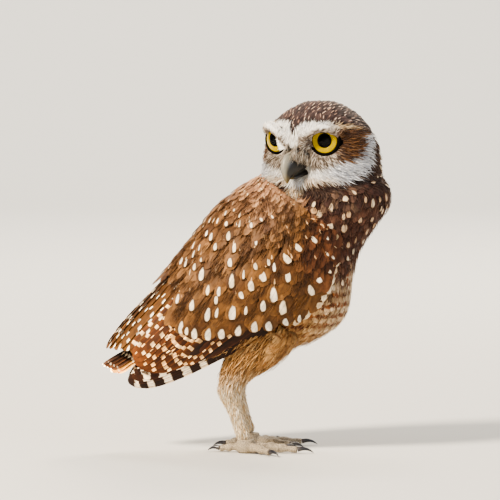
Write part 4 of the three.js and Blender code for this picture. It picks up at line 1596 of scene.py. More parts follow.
@dataclass(frozen=True)
class Plume(Finish):
    """Feather keratin, grown and preened.

    Barbs give it a fine slanting grain, a matt face and a soft edge glow; a paler
    rim, a dark shaft, spots and bars come from values that each feather carries.
    """

    roughness: float = 0.62
    sheen: float = 0.06
    # Millimetres that a spot leans sideways for each millimetre along the vane
    lean: float = 0.0
    # Real barbs stand 0.3 mm apart; drawn at 1.1 mm so that they show
    barb_spacing: float = 1.1
    barb_slant: float = 0.85
    barb_depth: float = 0.12
    # How much streaks, shaft and mottling change the brightness, and how bright the vane's root is; the darker
    # root is painted shade under the overlapping feathers
    streak: float = 0.22
    shaft: float = 0.22
    mottle: float = 0.28
    base: float = 0.86
    # Half the share of a bar's spacing over which its edge fades
    fade: float = 0.09
    # Bars keep this far from the tip, and end this far from it, in millimetres
    bare_tip: float = 4.5
    bare_root: float = 58.0

    def inputs(self, node: Callable[..., Socket]) -> dict[str, object]:
        """Lays out grain, spot, bars, rim and shaft; lengths are in millimetres.

        Args:
            node: Adds a node to the material.

        Returns:
            What feeds the shader's sockets, by name.
        """
        (web, share, luck), (x, back, _), (half, long, centre), (gap, inner, phase) = (
            node("SeparateXYZ", node(f"Attribute/{name}", out="Vector")).node.outputs
            for name in ("vane", "span", "spot", "bars")
        )
        hem, strength, offset, duty = (
            node(f"Attribute/{name}", out="Alpha") for name in ("ground", "mark", "spot", "bars")
        )
        ground, mark = (node(f"Attribute/{name}", out="Color") for name in ("ground", "mark"))

        # Streaks along the slanting barbs, and clouds a few millimetres wide
        side = node("Math/ABSOLUTE", x)
        slant = node("Math/MULTIPLY_ADD", side, self.barb_slant, back)
        seed = node("Math/MULTIPLY", luck, 87.0)
        over_barbs = node("Math/MULTIPLY", slant, 1 / self.barb_spacing)
        spot = node("CombineXYZ", over_barbs, node("Math/MULTIPLY", x, 0.22), seed)
        grain = node("TexNoise", spot, 1.0, 2.0, 0.6)
        cloud_at = node("CombineXYZ", node("Math/MULTIPLY", x, 0.3), node("Math/MULTIPLY", back, 0.2), seed)
        cloud = node("TexNoise", cloud_at, 1.0, 1.0)

        # Spot near the tip, with a ragged rim and a dark surround
        beyond = node("Math/SUBTRACT", back, centre)
        across = node("Math/SUBTRACT", node("Math/MULTIPLY_ADD", beyond, self.lean, x), offset)
        length = node("Math/DIVIDE", beyond, long)
        taper = node("MapRange", length, -1.0, 1.4, 1.05, 0.5)
        across = node("Math/DIVIDE", node("Math/DIVIDE", across, half), taper)
        apart = node("VectorMath/LENGTH", node("CombineXYZ", across, length))
        ragged = node("Math/MULTIPLY_ADD", grain, 0.5, apart)
        in_spot = node("MapRange/SMOOTHSTEP", ragged, 1.02, 1.42, 1.0, 0.0)
        shadow = node("MapRange/SMOOTHSTEP", ragged, 1.3, 2.3, 0.62, 1.0)
        ground = node("VectorMath/SCALE", ground, shadow)

        # Bars across the vane
        travel = node("Math/MULTIPLY_ADD", side, 0.18, back)
        travel = node("Math/ADD", node("Math/MULTIPLY_ADD", cloud, 1.6, travel), phase)
        saw = node("Math/SUBTRACT", node("Math/FRACT", node("Math/DIVIDE", travel, gap)), 0.5)
        wave = node("Math/MULTIPLY", node("Math/ABSOLUTE", saw), 2.0)
        beyond = node("Math/SUBTRACT", wave, duty)
        in_band = node("MapRange/SMOOTHSTEP", beyond, -self.fade, self.fade, 1.0, 0.0)
        in_web = node("MapRange/SMOOTHSTEP", node("Math/SUBTRACT", side, inner), -0.25, 0.35, 0.0, 1.0)
        in_bar = node("Math/MULTIPLY", in_band, in_web)
        for start, end in ((self.bare_tip - 1, self.bare_tip + 1), (self.bare_root + 3, self.bare_root - 3)):
            in_bar = node("Math/MULTIPLY", in_bar, node("MapRange", back, start, end, 0.0, 1.0))
        marked = node("Math/MAXIMUM", in_spot, in_bar)
        marked = node("Math/MULTIPLY", marked, strength, use_clamp=True)
        colour = node("Mix/RGBA", marked, ground, mark)

        # Pale rim and dark shaft
        rim = node("Math/MAXIMUM", node("Math/ABSOLUTE", web), node("MapRange", share, 0.7, 1.0, 0.6, 1.0))
        in_rim = node("MapRange/SMOOTHSTEP", rim, 0.72, 1.0, 0.0, 1.0)
        value = node("MapRange", grain, 0.25, 0.75, 1 - self.streak, 1 + self.streak)
        for more in (
            node("MapRange", cloud, 0.3, 0.7, 1 - self.mottle, 1 + self.mottle),
            node("MapRange/SMOOTHSTEP", side, 0.12, 0.34, 1 - self.shaft, 1.0),
            # The vane darkens towards its root: painted shade under the feathers that overlap it
            node("MapRange", share, 0.0, 0.6, self.base, 1.0),
            node("Math/ADD", node("Math/MULTIPLY", in_rim, hem), 1.0),
        ):
            value = node("Math/MULTIPLY", value, more)
        return {
            "Base Color": node("VectorMath/SCALE", colour, value),
            "Normal": node("Bump", named={"Height": grain, "Strength": 0.5, "Distance": self.barb_depth * MM}),
            "Roughness": self.roughness, "Specular IOR Level": 0.2,
            "Sheen Weight": self.sheen, "Sheen Roughness": 0.5,
        }


@dataclass(frozen=True)
class BareSkin(Finish):
    """Thin bird skin with down, between the feather roots: matt, with the coat's own colours."""

    name: str = "bird_skin_with_down"
    # Down tufts stand about 1.5 mm apart
    down_spacing: float = 1.5

    def inputs(self, node: Callable[..., Socket]) -> dict[str, object]:
        """Lays out a fine grain over the coat's colours.

        Args:
            node: Adds a node to the material.

        Returns:
            What feeds the shader's sockets, by name.
        """
        grain = node("TexNoise", node("TexCoord", out="Object"), 1000 / self.down_spacing, 3.0, 0.6)
        ground = node("Attribute/ground", out="Color")
        return {
            "Base Color": node("VectorMath/SCALE", ground, node("MapRange", grain, 0.3, 0.7, 0.62, 0.95)),
            "Normal": node("Bump", named={"Height": grain, "Strength": 0.8, "Distance": 0.4 * MM}),
            "Roughness": 0.8, "Specular IOR Level": 0.2,
        }


@dataclass(frozen=True)
class Iris(Finish):
    """A yellow iris with fine rays and a dark rim, round the black lens, whose wet face shines."""

    side: Side
    yellow: str = "#a88f00"
    deep: str = "#8c7400"
    rim: str = "#241804"
    ball: str = "#120d0a"
    lens: str = "#020202"

    def inputs(self, node: Callable[..., Socket]) -> dict[str, object]:
        """Lays out rays and rings round the eye's own axis.

        Args:
            node: Adds a node to the material.

        Returns:
            What feeds the shader's sockets, by name.
        """
        eye, build = Eye(self.side), EyeBuilder()
        away = node("VectorMath/SUBTRACT", node("TexCoord", out="Object"), tuple((eye.centre + STAND) * MM))
        axes = (eye.gaze, eye.across, UP)
        ahead, right, high = (node("VectorMath/DOT_PRODUCT", away, tuple(axis)) for axis in axes)
        reach = node("VectorMath/LENGTH", node("CombineXYZ", right, high))
        turn = node("Math/ARCTAN2", high, right)
        rays_at = node(
            "CombineXYZ", node("Math/COSINE", turn), node("Math/SINE", turn),
            node("Math/MULTIPLY", reach, 260.0),
        )
        tone = node("MapRange", node("TexNoise", rays_at, 7.0, 3.0, 0.65), 0.35, 0.65, 0.0, 1.0)
        rays = node("Mix/RGBA", tone, rgba(self.yellow), rgba(self.deep))
        colour = node("Mix/RGBA", 0.35, rays, rgba(self.yellow))
        edge, ring = (build.iris_radius - 0.75) * MM, (build.iris_radius - 0.05) * MM
        in_rim = node("MapRange/SMOOTHSTEP", reach, edge, ring, 0.0, 1.0)
        colour = node("Mix/RGBA", in_rim, colour, rgba(self.rim))
        outside = node("Math/GREATER_THAN", reach, (build.iris_radius + 0.1) * MM)
        colour = node("Mix/RGBA", outside, colour, rgba(self.ball))
        edge, ring = (build.pupil_radius - 0.05) * MM, (build.pupil_radius + 0.2) * MM
        pupil = node("MapRange", reach, edge, ring, 1.0, 0.0)
        colour = node("Mix/RGBA", pupil, colour, rgba(self.lens))
        return {
            "Base Color": node("Mix/RGBA", node("Math/LESS_THAN", ahead, 0.0), colour, rgba(self.ball)),
            "Roughness": node("MapRange", pupil, 0.0, 1.0, 1.0, 0.12), "Specular IOR Level": 0.14,
        }


@dataclass(frozen=True)
class Cornea(Finish):
    """The clear front of the eye, which bends the view of the iris; the shine lies on the lens."""

    name: str = "cornea_clear"
    ior: float = 1.336

    def inputs(self, node: Callable[..., Socket]) -> dict[str, object]:
        """Sets clear matter without a shine of its own.

        Args:
            node: Adds a node to the material.

        Returns:
            What feeds the shader's sockets, by name.
        """
        return {
            "Base Color": (1.0, 1.0, 1.0, 1.0), "Roughness": 0.0, "IOR": self.ior, "Transmission Weight": 1.0,
            "Specular Tint": (0.0, 0.0, 0.0, 1.0),
        }


@dataclass(frozen=True)
class LidSkin(Finish):
    """Bare lid skin, dark grey and slightly moist, with fine beads."""

    name: str = "lid_skin_dark"
    colour: str = "#030303"
    light: str = "#120f0e"
    # Beads 0.8 mm across
    bead_size: float = 0.8

    def inputs(self, node: Callable[..., Socket]) -> dict[str, object]:
        """Lays out the beads.

        Args:
            node: Adds a node to the material.

        Returns:
            What feeds the shader's sockets, by name.
        """
        beads = node("TexVoronoi", node("TexCoord", out="Object"), 1000 / self.bead_size)
        tone = node("MapRange", beads, 0.1, 0.6, 1.0, 0.0)
        return {
            "Base Color": node("Mix/RGBA", tone, rgba(self.colour), rgba(self.light)),
            "Normal": node("Bump", named={"Height": beads, "Strength": 0.5, "Distance": -0.12 * MM}),
            "Roughness": 0.7, "Specular IOR Level": 0.05,
        }


@dataclass(frozen=True)
class BillHorn(Finish):
    """Horn of the bill, grown in layers and polished by use: satin, paler along ridge and tip; the pale ridge
    over dark sides is partly painted light from above.
    """

    name: str = "bill_horn"
    # Side and ridge colours: the horn's own colour, with painted shade on the sides and painted light along
    # the ridge
    side: str = "#1d1a14"
    ridge: str = "#8b877a"
    tip: str = "#8a7340"
    # Near black of the nostrils: painted shade inside the openings
    pit: str = "#0c0a08"
    # Layers about 1.1 mm apart, drawn out to 4 mm upwards
    layers: tuple[float, float, float] = (900.0, 900.0, 260.0)

    def inputs(self, node: Callable[..., Socket]) -> dict[str, object]:
        """Lays out layers, ridge, tip and nostrils.

        Args:
            node: Adds a node to the material.

        Returns:
            What feeds the shader's sockets, by name.
        """
        down, onward, pit = node("SeparateXYZ", node("Attribute/horn", out="Vector")).node.outputs
        along_bill = node("VectorMath/MULTIPLY", node("TexCoord", out="Object"), self.layers)
        layers = node("TexNoise", along_bill, 1.0, 4.0)
        ragged = node("Math/MULTIPLY_ADD", layers, 0.16, down)
        # Paler ridge over darker sides: partly real horn colour, partly painted light from above
        ridge = node("MapRange/SMOOTHSTEP", ragged, 0.1, 0.46, 1.0, 0.0)
        colour = node("Mix/RGBA", ridge, rgba(self.side), rgba(self.ridge))
        colour = node("Mix/RGBA", node("MapRange", onward, 0.72, 1.0, 0.0, 0.8), colour, rgba(self.tip))
        # Nostrils painted near black: painted shade inside the openings
        colour = node("Mix/RGBA", pit, colour, rgba(self.pit))
        return {
            "Base Color": node("VectorMath/SCALE", colour, node("MapRange", layers, 0.3, 0.7, 0.82, 1.14)),
            "Normal": node("Bump", named={"Height": layers, "Strength": 0.35, "Distance": 0.08 * MM}),
            "Roughness": node("MapRange", layers, 0.3, 0.7, 0.3, 0.44), "IOR": 1.54,
        }


@dataclass(frozen=True)
class ClawHorn(Finish):
    """Claw horn, near black and polished, with faint growth marks."""

    name: str = "claw_horn"
    colour: str = "#23232a"
    root: str = "#4a4442"

    def inputs(self, node: Callable[..., Socket]) -> dict[str, object]:
        """Lays out the paler root and marks about 1.1 mm apart.

        Args:
            node: Adds a node to the material.

        Returns:
            What feeds the shader's sockets, by name.
        """
        _, onward, _ = node("SeparateXYZ", node("Attribute/horn", out="Vector")).node.outputs
        marks = node("TexNoise", node("TexCoord", out="Object"), 900.0, 3.0)
        start = node("MapRange", onward, 0.0, 0.3, 1.0, 0.0)
        colour = node("Mix/RGBA", start, rgba(self.colour), rgba(self.root))
        return {
            "Base Color": node("VectorMath/SCALE", colour, node("MapRange", marks, 0.3, 0.7, 0.8, 1.2)),
            "Normal": node("Bump", named={"Height": marks, "Strength": 0.2, "Distance": 0.05 * MM}),
            "Roughness": 0.28, "IOR": 1.54,
        }


@dataclass(frozen=True)
class ToeSkin(Finish):
    """Toe skin, greyish horn-coloured, in small scales that dull its shine."""

    name: str = "toe_skin_scaly"
    colour: str = "#b5a58c"
    groove: str = "#6f6252"
    # Scales about 1 mm across
    scale_size: float = 1.0

    def inputs(self, node: Callable[..., Socket]) -> dict[str, object]:
        """Lays out scales with grooves between them, and patches 4.5 mm wide.

        Args:
            node: Adds a node to the material.

        Returns:
            What feeds the shader's sockets, by name.
        """
        place = node("TexCoord", out="Object")
        cells = node("TexVoronoi/DISTANCE_TO_EDGE", place, 1000 / self.scale_size)
        plate = node("MapRange/SMOOTHSTEP", cells, 0.0, 0.16, 0.0, 1.0)
        colour = node("Mix/RGBA", plate, rgba(self.groove), rgba(self.colour))
        tone = node("MapRange", node("TexNoise", place, 220.0, 2.0), 0.3, 0.7, 0.8, 1.12)
        return {
            "Base Color": node("VectorMath/SCALE", colour, tone),
            "Normal": node("Bump", named={"Height": plate, "Strength": 0.6, "Distance": 0.15 * MM}),
            "Roughness": 0.58,
        }


@dataclass(frozen=True)
class StudioPaint(Finish):
    """Matt pale paint of the floor and the sweep behind it."""

    name: str = "studio_paint_matt"
    colour: str = "#dcdad5"

    def inputs(self, node: Callable[..., Socket]) -> dict[str, object]:
        """Lays out the roller's grain, 3 mm wide.

        Args:
            node: Adds a node to the material.

        Returns:
            What feeds the shader's sockets, by name.
        """
        roller = node("TexNoise", node("TexCoord", out="Object"), 300.0, 2.0)
        return {
            "Base Color": rgba(self.colour),
            "Normal": node("Bump", named={"Height": roller, "Strength": 0.1, "Distance": 0.1 * MM}),
            "Roughness": 0.8, "Specular IOR Level": 0.2,
        }


def dress(pieces: list[Piece], finish: Finish) -> list[Piece]:
    """Gives pieces one finish and hands them back.

    Args:
        pieces: The pieces.
        finish: The finish they get.

    Returns:
        The same pieces.
    """
    material = finish.make()
    for piece in pieces:
        piece.data.materials.append(material)
    return pieces


# Markings


@dataclass(frozen=True)
class Paint:
    """Colours and marks of one kind of feather, from darkest to palest ground."""

    ground: tuple[str, ...] = BROWN
    mark: tuple[str, ...] = ("#ead9c0", "#f6ecdb")
    hem: float = 0.12
    strength: float = 0.95
    spot: tuple[float, float, float, float] | None = None
    bars: tuple[float, float, float, float] | None = None

    def values(self, count: int, random: np.random.Generator, **own: Array) -> dict[str, Array]:
        """Sets the values that each feather carries.

        Args:
            count: How many feathers.
            random: The random numbers.
            **own: Values by feather that stand in for the common ones: ground, spotted, spot, bars, mark.

        Returns:
            The values by name.
        """
        luck = random.random(count)
        ground = own["ground"] if "ground" in own else pick(self.ground, luck)
        mark = own["mark"] if "mark" in own else pick(self.mark, random.random(count))
        size = 1 + 0.16 * random.normal(size=(count, 1))
        spot = np.tile([1.0, 1.0, -99.0, 0.0], (count, 1))
        if self.spot is not None:
            base = np.array(self.spot) * np.hstack([size, size, np.ones((count, 2))])
            base[:, 3] += random.normal(0, 0.25, count)
            chosen = own.get("spotted", np.ones(count, bool))
            spot[chosen] = base[chosen]
        spot = own.get("spot", spot)
        bars = own.get("bars")
        if bars is None:
            bars = np.tile(self.bars or (9.0, 99.0, 0.0, 0.3), (count, 1)).astype(float)
            bars[:, 2] += random.normal(0, 0.6, count)
        ground, mark = tint(ground, self.hem), tint(mark, self.strength)
        return {"ground": ground, "mark": mark, "spot": spot, "bars": bars}


class Zone(Enum):
    """Parts of the skin that carry different feathers."""

    CROWN = 0
    FACE = 1
    NAPE = 2
    BREAST = 3
    BELLY = 4
    MANTLE = 5
    LEG = 6
    COVERED = 7


@dataclass
class Chart:
    """Finds the place and angle of points on slanted sections."""

    table: Array
    last: float
    tree: KDTree = field(init=False)
    grid: Array = field(init=False)

    def __post_init__(self) -> None:
        """Lays out the points that are searched."""
        place, degrees = np.meshgrid(np.linspace(0, self.last, 110), np.arange(0, 181, 3.0), indexing="ij")
        points = section_point(self.table, place, degrees, 0).reshape(-1, 3)
        self.grid = np.stack([place.ravel(), degrees.ravel()], axis=-1)
        self.tree = search_tree(points)

    def find(self, points: Array) -> tuple[Array, Array, Array]:
        """Finds place, angle and distance of points.

        Args:
            points: The points.

        Returns:
            Place, degrees from the back line, and distance.
        """
        folded = points * [1, 0, 1] + np.abs(points) * [0, 1, 0]
        found = [self.tree.find(point)[1:] for point in folded.tolist()]
        number, apart = (np.array(values) for values in zip(*found))
        return self.grid[number, 0], self.grid[number, 1], apart


@dataclass
class Markings:
    """The bird's markings by place, the same for skin and coat."""

    crown_line: tuple[tuple[float, float], ...] = (
        (0, 190), (3, 192), (6, 195.2), (11, 197.6), (20, 198.6), (45, 198.2), (67, 196.4), (86, 194.5),
        (102, 190.5), (112, 188.5), (119, 185), (135, 172),
    )
    brow_low: tuple[tuple[float, float], ...] = (
        (0, 182.5), (7, 184), (12, 188.5), (18, 191), (24, 193.6), (40, 195.2), (54, 194.8), (70, 194.4),
        (90, 194),
    )
    crescent_top: tuple[tuple[float, float], ...] = (
        (0, 169.5), (12, 169), (23, 169.7), (39, 171), (49, 173.3), (65, 175), (76, 177.5), (81, 181.5),
        (84, 187), (88, 191), (105, 191), (119, 186),
    )
    crescent_low: tuple[tuple[float, float], ...] = (
        (0, 159.5), (12, 159.5), (15, 160.8), (34, 162), (45, 161.8), (60, 162.4), (70, 164.6), (81, 169.2),
        (92, 175.2), (98, 181.2), (101, 187.5), (119, 197),
    )
    body: Chart = field(default_factory=lambda: Chart(np.vstack([TORSO, NECK[1:]]), 12))
    wing: Chart = field(default_factory=lambda: Chart(WING, 8))
    leg_tree: KDTree = field(init=False)

    def __post_init__(self) -> None:
        """Lays out points along the legs."""
        self.leg_tree = search_tree(np.vstack([
            leg_line(stations, side, 30)[0] for side in Side for stations in (THIGH, SHANK)
        ]))

    @staticmethod
    def on_head(points: Array) -> Array:
        """Tells which points of the skin lie on the head.

        Args:
            points: Points, in millimetres.

        Returns:
            Which of them belong to the head.
        """
        away = points - HEAD_CENTRE
        ahead, left, z = away @ HEAD_FORWARD, away @ HEAD_LEFT, points[:, 2]
        row = np.clip(np.interp(z, HEAD[:, 0], np.arange(len(HEAD))), 0, len(HEAD) - 1)
        values = between(HEAD, row)
        reach = np.where(ahead > 0, values[:, 1], values[:, 2])
        ratio = np.hypot(ahead / np.maximum(reach, 1), left / np.maximum(values[:, 3], 1))
        return (z > 154.5) & (ratio > np.select([z > 195, z > 157], [-1.0, 0.3], 0.8))

    def zones(self, points: Array) -> Array:
        """Sorts points of the skin into zones.

        Args:
            points: The points.

        Returns:
            A zone's number for each.
        """
        place, degrees, _ = self.body.find(points)
        wing_place, wing_degrees, wing_apart = self.wing.find(points)
        bearing, z = head_polar(points)
        bearing = np.abs(bearing)
        head = self.on_head(points)
        zone = np.full(len(points), Zone.BELLY.value)
        zone[self.front_share(points, degrees) > 0.5] = Zone.BREAST.value
        zone[(degrees < 80) & (place > 3)] = Zone.MANTLE.value
        zone[(place > 8.4) & (degrees < 118)] = Zone.NAPE.value
        top = np.interp(wing_place, np.arange(9), WING_TOP)
        low = np.interp(wing_place, np.arange(9), WING_LOW)
        under = (wing_degrees > top + 14) & (wing_degrees < low + 2) & (wing_place < 7.95) & (wing_apart < 14)
        zone[under] = Zone.COVERED.value
        zone[(place < 3.2) & (degrees < 80)] = Zone.COVERED.value
        leg = np.array([self.leg_tree.find(point)[2] for point in points.tolist()])
        zone[(points[:, 2] < 73) & (leg < 19) & (points[:, 0] < 18)] = Zone.LEG.value
        line = np.interp(bearing, *np.array(self.crown_line).T)
        face = head & (z <= line) & (bearing < 112)
        zone[face] = Zone.FACE.value
        zone[head & ~face] = Zone.CROWN.value
        low = np.interp(bearing, *np.array(self.crescent_low).T)
        zone[face & (bearing > 42) & (z < low - 2.2)] = Zone.NAPE.value
        return zone

    @staticmethod
    def front_share(points: Array, degrees: Array) -> Array:
        """How far points belong to the dark breast (1) rather than the barred belly (0)."""
        line = np.interp(points[:, 0], [20, 40, 55, 66], [96, 99, 112, 120])
        line = line + 2.5 * np.sin(0.41 * points[:, 1] + 0.23 * points[:, 0])
        return ease(-3, 3, points[:, 2] - line) * ease(60, 75, degrees)

    def ground(self, points: Array, random: np.random.Generator) -> Array:
        """Finds the ground colour of the coat at points of the skin.

        Args:
            points: The points.
            random: The random numbers.

        Returns:
            Linear colours.
        """
        zone = self.zones(points)
        luck = random.random(len(points))
        _, degrees, _ = self.body.find(points)
        # Cream only towards the front of the belly, tan behind and below it: partly the flank's real buff,
        # partly painted shade
        front = (ease(36, 64, points[:, 0]) * ease(70, 80, points[:, 2]))[:, None]
        belly = mix(pick(TAN, luck), pick(CREAM, luck), 0.08 + 0.6 * front)
        colour = mix(belly, pick(BREAST, luck), self.front_share(points, degrees)[:, None])
        leg = mix(pick(SHANK_CREAM, luck), pick(THIGH_GOLD, luck), ease(34, 56, points[:, 2])[:, None])
        for one, tone in (
            (Zone.MANTLE, pick(SHOULDER, 0.2 + 0.7 * luck)), (Zone.COVERED, pick(BROWN, luck)),
            (Zone.NAPE, pick(NAPE, luck)), (Zone.LEG, leg),
        ):
            colour = np.where((zone == one.value)[:, None], tone, colour)
        head = self.on_head(points)
        colour[head] = self.face(points[head], random)
        return colour

    def face(self, points: Array, random: np.random.Generator) -> Array:
        """Finds the colours of the head.

        Args:
            points: Points on the head.
            random: The random numbers.

        Returns:
            Linear colours.
        """
        bearing, z = head_polar(points)
        bearing = np.abs(bearing)
        count = len(points)
        z = z + random.normal(0, 0.45, count)
        luck = random.random(count)

        def line(table: tuple[tuple[float, float], ...]) -> Array:
            """Height of a boundary at each bearing."""
            return np.interp(bearing, *np.array(table).T)

        white, crown, nape, cheek, disc, chin, dark = (
            pick(codes, luck) for codes in (WHITE, CAP, NAPE, CHEEK, LORE, CHIN, BLACKISH)
        )
        top, low = line(self.crescent_top), line(self.crescent_low)
        colour = mix(disc, cheek, ease(46, 58, bearing)[:, None])
        pale = ease(6, 2, bearing) + ease(176, 171, z) * ease(26, 14, bearing)
        colour = mix(colour, white, np.minimum(pale, 1)[:, None])
        # The crescent's white greys towards the sides of the head: painted shade
        shaded = mix(white, pick(CRESCENT_SHADE, luck), ease(30, 50, bearing)[:, None])
        colour = mix(colour, shaded, (ease(-0.8, 0.8, top - z) * ease(-0.8, 0.8, z - low))[:, None])
        streaked = ease(8, 16, bearing) * ease(60, 44, bearing) * ease(167, 163, z)
        colour = mix(colour, chin, (0.75 * streaked)[:, None])
        under = ease(-0.5, 0.8, low - z)
        # A thin near-black band just under the crescent: painted shadow below its edge
        shadow_below_crescent = ease(56, 66, bearing) * ease(108, 98, bearing) * ease(3.6, 1.6, low - z)
        below = mix(chin, nape, ease(4, 14, bearing)[:, None])
        colour = mix(colour, mix(below, dark, shadow_below_crescent[:, None]), under[:, None])
        brow = ease(-0.6, 0.6, z - line(self.brow_low)) * ease(84, 74, bearing)
        cream = mix(white, pick(("#b08f68", "#e0cba8"), luck), ease(36, 58, bearing)[:, None])
        colour = mix(colour, cream, brow[:, None])
        above = ease(-0.5, 0.5, z - line(self.crown_line))
        colour = mix(colour, crown, above[:, None])
        behind = ease(110, 120, bearing)
        colour = mix(colour, mix(nape, crown, ease(190, 200, z)[:, None]), behind[:, None])
        return colour


# Plumage


@dataclass
class Plumage:
    """What all parts of the coat share: the skin they grow on and the bird's markings."""

    skin: Skin
    markings: Markings
    lie: Lie = field(default_factory=Lie)

    def shafts(
        self, roots: Array, normals: Array, length: Array, sink: float, rise: Array,
        steps: int, sway: Array,
    ) -> tuple[Array, Array]:
        """Draws shafts that leave the skin and lie along it.

        Args:
            roots: Root points.
            normals: Skin normals there.
            length: Feather lengths.
            sink: Lift off the skin at the roots.
            rise: Lift off the skin at the tips.
            steps: Points of each shaft.
            sway: Turn of each feather from the common lie, in radians.

        Returns:
            Shaft points and outward directions.
        """
        line, outward = self.skin.trace(roots, normals, length, self.lie, steps, sway)
        t = np.linspace(0, 1, steps)[None, :, None]
        lift = mix(rise[:, None, None], sink, (1 - t) ** 1.7)
        shaft = line + outward * lift
        # The foremost breast feathers lie flatter
        shaft[..., 0] = np.minimum(shaft[..., 0], 85.4)
        return shaft, outward

    def patch(self, roots: Array) -> Array:
        """Places roots on the unwrap of head, body or legs.

        Args:
            roots: Root points.

        Returns:
            Place on the unwrap.
        """
        bearing, z = head_polar(roots)
        head = self.markings.on_head(roots)
        place, degrees, _ = self.markings.body.find(roots)
        body = np.stack([0.5 + np.sign(roots[:, 1]) * degrees / 380, 0.03 + place / 13], axis=-1)
        over = np.stack([0.5 + bearing / 380, 0.03 + (z - 150) / 66], axis=-1)
        return np.where(head[:, None], over, body)


@dataclass(frozen=True)
class Tract:
    """One kind of contour feather on part of the skin, in millimetres."""

    name: str
    zone: Zone
    length: float
    width: float
    spacing: float
    rise: float
    vane: Vane
    paint: Paint
    sink: float = -0.6
    spot_gap: float = 0.0
    barred: bool = False


@dataclass
class BodyCoat(Plumage):
    """Contour feathers of neck, back, breast and belly, and the wisps at the belly's edge."""

    soft: Vane = Vane(rows=10, columns=7, camber=0.16, tilt=0.05, fray=0.3, thickness=0.14)
    tracts: tuple[Tract, ...] = ()

    def __post_init__(self) -> None:
        """Lists the tracts."""
        spotted = Paint(mark=("#b98a62", "#ead4b4"), spot=(0.8, 1.9, 2.6, 0.0))
        self.tracts = (
            Tract("belly", Zone.BELLY, 14, 6.8, 2.7, 3.2, self.soft,
                  Paint(hem=0.0), barred=True),
            Tract("breast", Zone.BREAST, 12, 8, 2.9, 3.0, self.soft,
                  Paint(mark=("#c9a076", "#ecd8b8"), spot=(1.9, 2.1, 3.2, 0.0)), spot_gap=7.4),
            Tract("mantle", Zone.MANTLE, 12, 5.0, 2.2, 4.2, self.soft, spotted, spot_gap=8.0),
            Tract("nape", Zone.NAPE, 9.5, 6, 2.4, 3.0, self.soft,
                  Paint(mark=("#c9a076", "#ecd8b8"), spot=(1.0, 2.0, 2.4, 0.0)), spot_gap=6.0),
        )

    def _tract(self, tract: Tract, seed: int) -> Piece:
        """Grows one tract.

        Args:
            tract: The tract.
            seed: Starts the random numbers.

        Returns:
            The piece.
        """
        random = np.random.default_rng(seed)
        mask = self.skin.zone == tract.zone.value
        roots, normals = self.skin.scatter(mask, tract.spacing, seed)
        noted, facing, sizes, seen = self._noted(tract)
        apart = np.linalg.norm(roots[:, None] - noted[None], axis=2).min(axis=1, initial=99.0)
        roots, normals, apart = roots[apart > 1.2], normals[apart > 1.2], apart[apart > 1.2]
        roots, normals = np.vstack([roots, noted]), np.vstack([normals, facing])
        apart = np.concatenate([apart, np.zeros(len(noted))])
        count = len(roots)
        order = random.normal(0, 1, count)
        places = np.vstack([roots[:count - len(noted)], seen])
        own = {"ground": self.markings.ground(places, random)}
        lift = tract.rise + 0.14 * order + 0.5 * (apart == 0)
        if tract.zone is Zone.BELLY:
            lift = lift - 1.1 * ease(90, 72, roots[:, 2])
        if tract.zone is Zone.NAPE:
            own["ground"] = pick(NAPE, random.random(count))
        if tract.spot_gap:
            shuffle = random.permutation(count)
            kept = shuffle[thin_out(roots[shuffle], np.full(count, tract.spot_gap))]
            spotted = np.zeros(count, bool)
            spotted[kept] = True
            own["spotted"] = spotted & (apart > 6.5)
            lift = lift + np.where(own["spotted"], 0.4, -0.1)
        length = tract.length * (1 + 0.1 * random.normal(size=count))
        if tract.zone is Zone.BELLY:
            length = length * (1 + 0.25 * ease(80, 60, roots[:, 2]))
            length = length * np.where(roots[:, 0] < -10, 1.2, 1.0)
        shaft, outward = self.shafts(
            roots, normals, length, tract.sink, np.maximum(lift, 0.8), 7, random.normal(0, 0.1, count)
        )
        if tract.barred:
            own["bars"], own["mark"] = self._bars(shaft, roots, length, random)
        width = tract.width * (1 + 0.1 * random.normal(size=count))
        paint = tract.paint.values(count, random, **own)
        for number, (half, length) in enumerate(sizes.tolist(), count - len(noted)):
            paint["spot"][number] = half, length, length + 0.9, 0.0
        strands = Strands(shaft, outward, width, self.patch(roots), paint)
        draft = Draft()
        tract.vane.grow(draft, strands, seed)
        tract.vane.fringe(draft, strands, seed, 9)
        return draft.build(f"feathers_{tract.name}")

    def _noted(self, tract: Tract) -> tuple[Array, Array, Array, Array]:
        """Finds, on both sides, where the feathers grow whose spots stand out.

        Args:
            tract: The feathers.

        Returns:
            Roots, skin normals, the half sizes of the spots and the skin under them.
        """
        tree = self.skin.tree
        found = []
        for side in Side:
            run = Vector((0.0, -side.value * math.cos(CAMERA_RISE), -math.sin(CAMERA_RISE)))
            for x, z, half, length in NECK_SPOTS.tolist():
                spot, normal, face, _ = tree.ray_cast(Vector((x, 0.0, z)) - run * 200, run)
                if spot is None or self.skin.zone[face] != tract.zone.value:
                    continue
                lead = self.lie.direction(np.array([spot]), np.array([normal]))[0]
                start, facing, _, _ = tree.find_nearest(spot - Vector(lead) * (tract.length - length - 0.9))
                found.append((*start, *facing, half, length, *spot))
        table = np.array(found).reshape(-1, 11)
        return table[:, :3], table[:, 3:6], table[:, 6:8], table[:, 8:]

    @staticmethod
    def _bars(
        shaft: Array, roots: Array, length: Array, random: np.random.Generator
    ) -> tuple[Array, Array]:
        """Sets the bars of belly feathers so that they run level round the body.

        Args:
            shaft: Shaft points, by feather and step.
            roots: Root points.
            length: Feather lengths.
            random: Source of random numbers.

        Returns:
            Values of the bars, and their colour.
        """
        run = (shaft[:, -1] - shaft[:, 0]) / length[:, None]
        steep = np.clip(-run[:, 2], 0.55, 1)
        gap = 6.2 / steep
        tip = shaft[:, -1, 2]
        phase = tip / steep + random.normal(0, 0.35, len(roots))
        faint = ease(66, 92, roots[:, 2]) * ease(-30, -5, roots[:, 0])
        duty = 0.46 * faint - 0.12 * (1 - faint)
        inner = np.full(len(roots), -99.0)
        rust = pick(("#431c06", "#633010", "#84491e"), random.random(len(roots)))
        return np.stack([gap, inner, phase, duty], axis=-1), rust

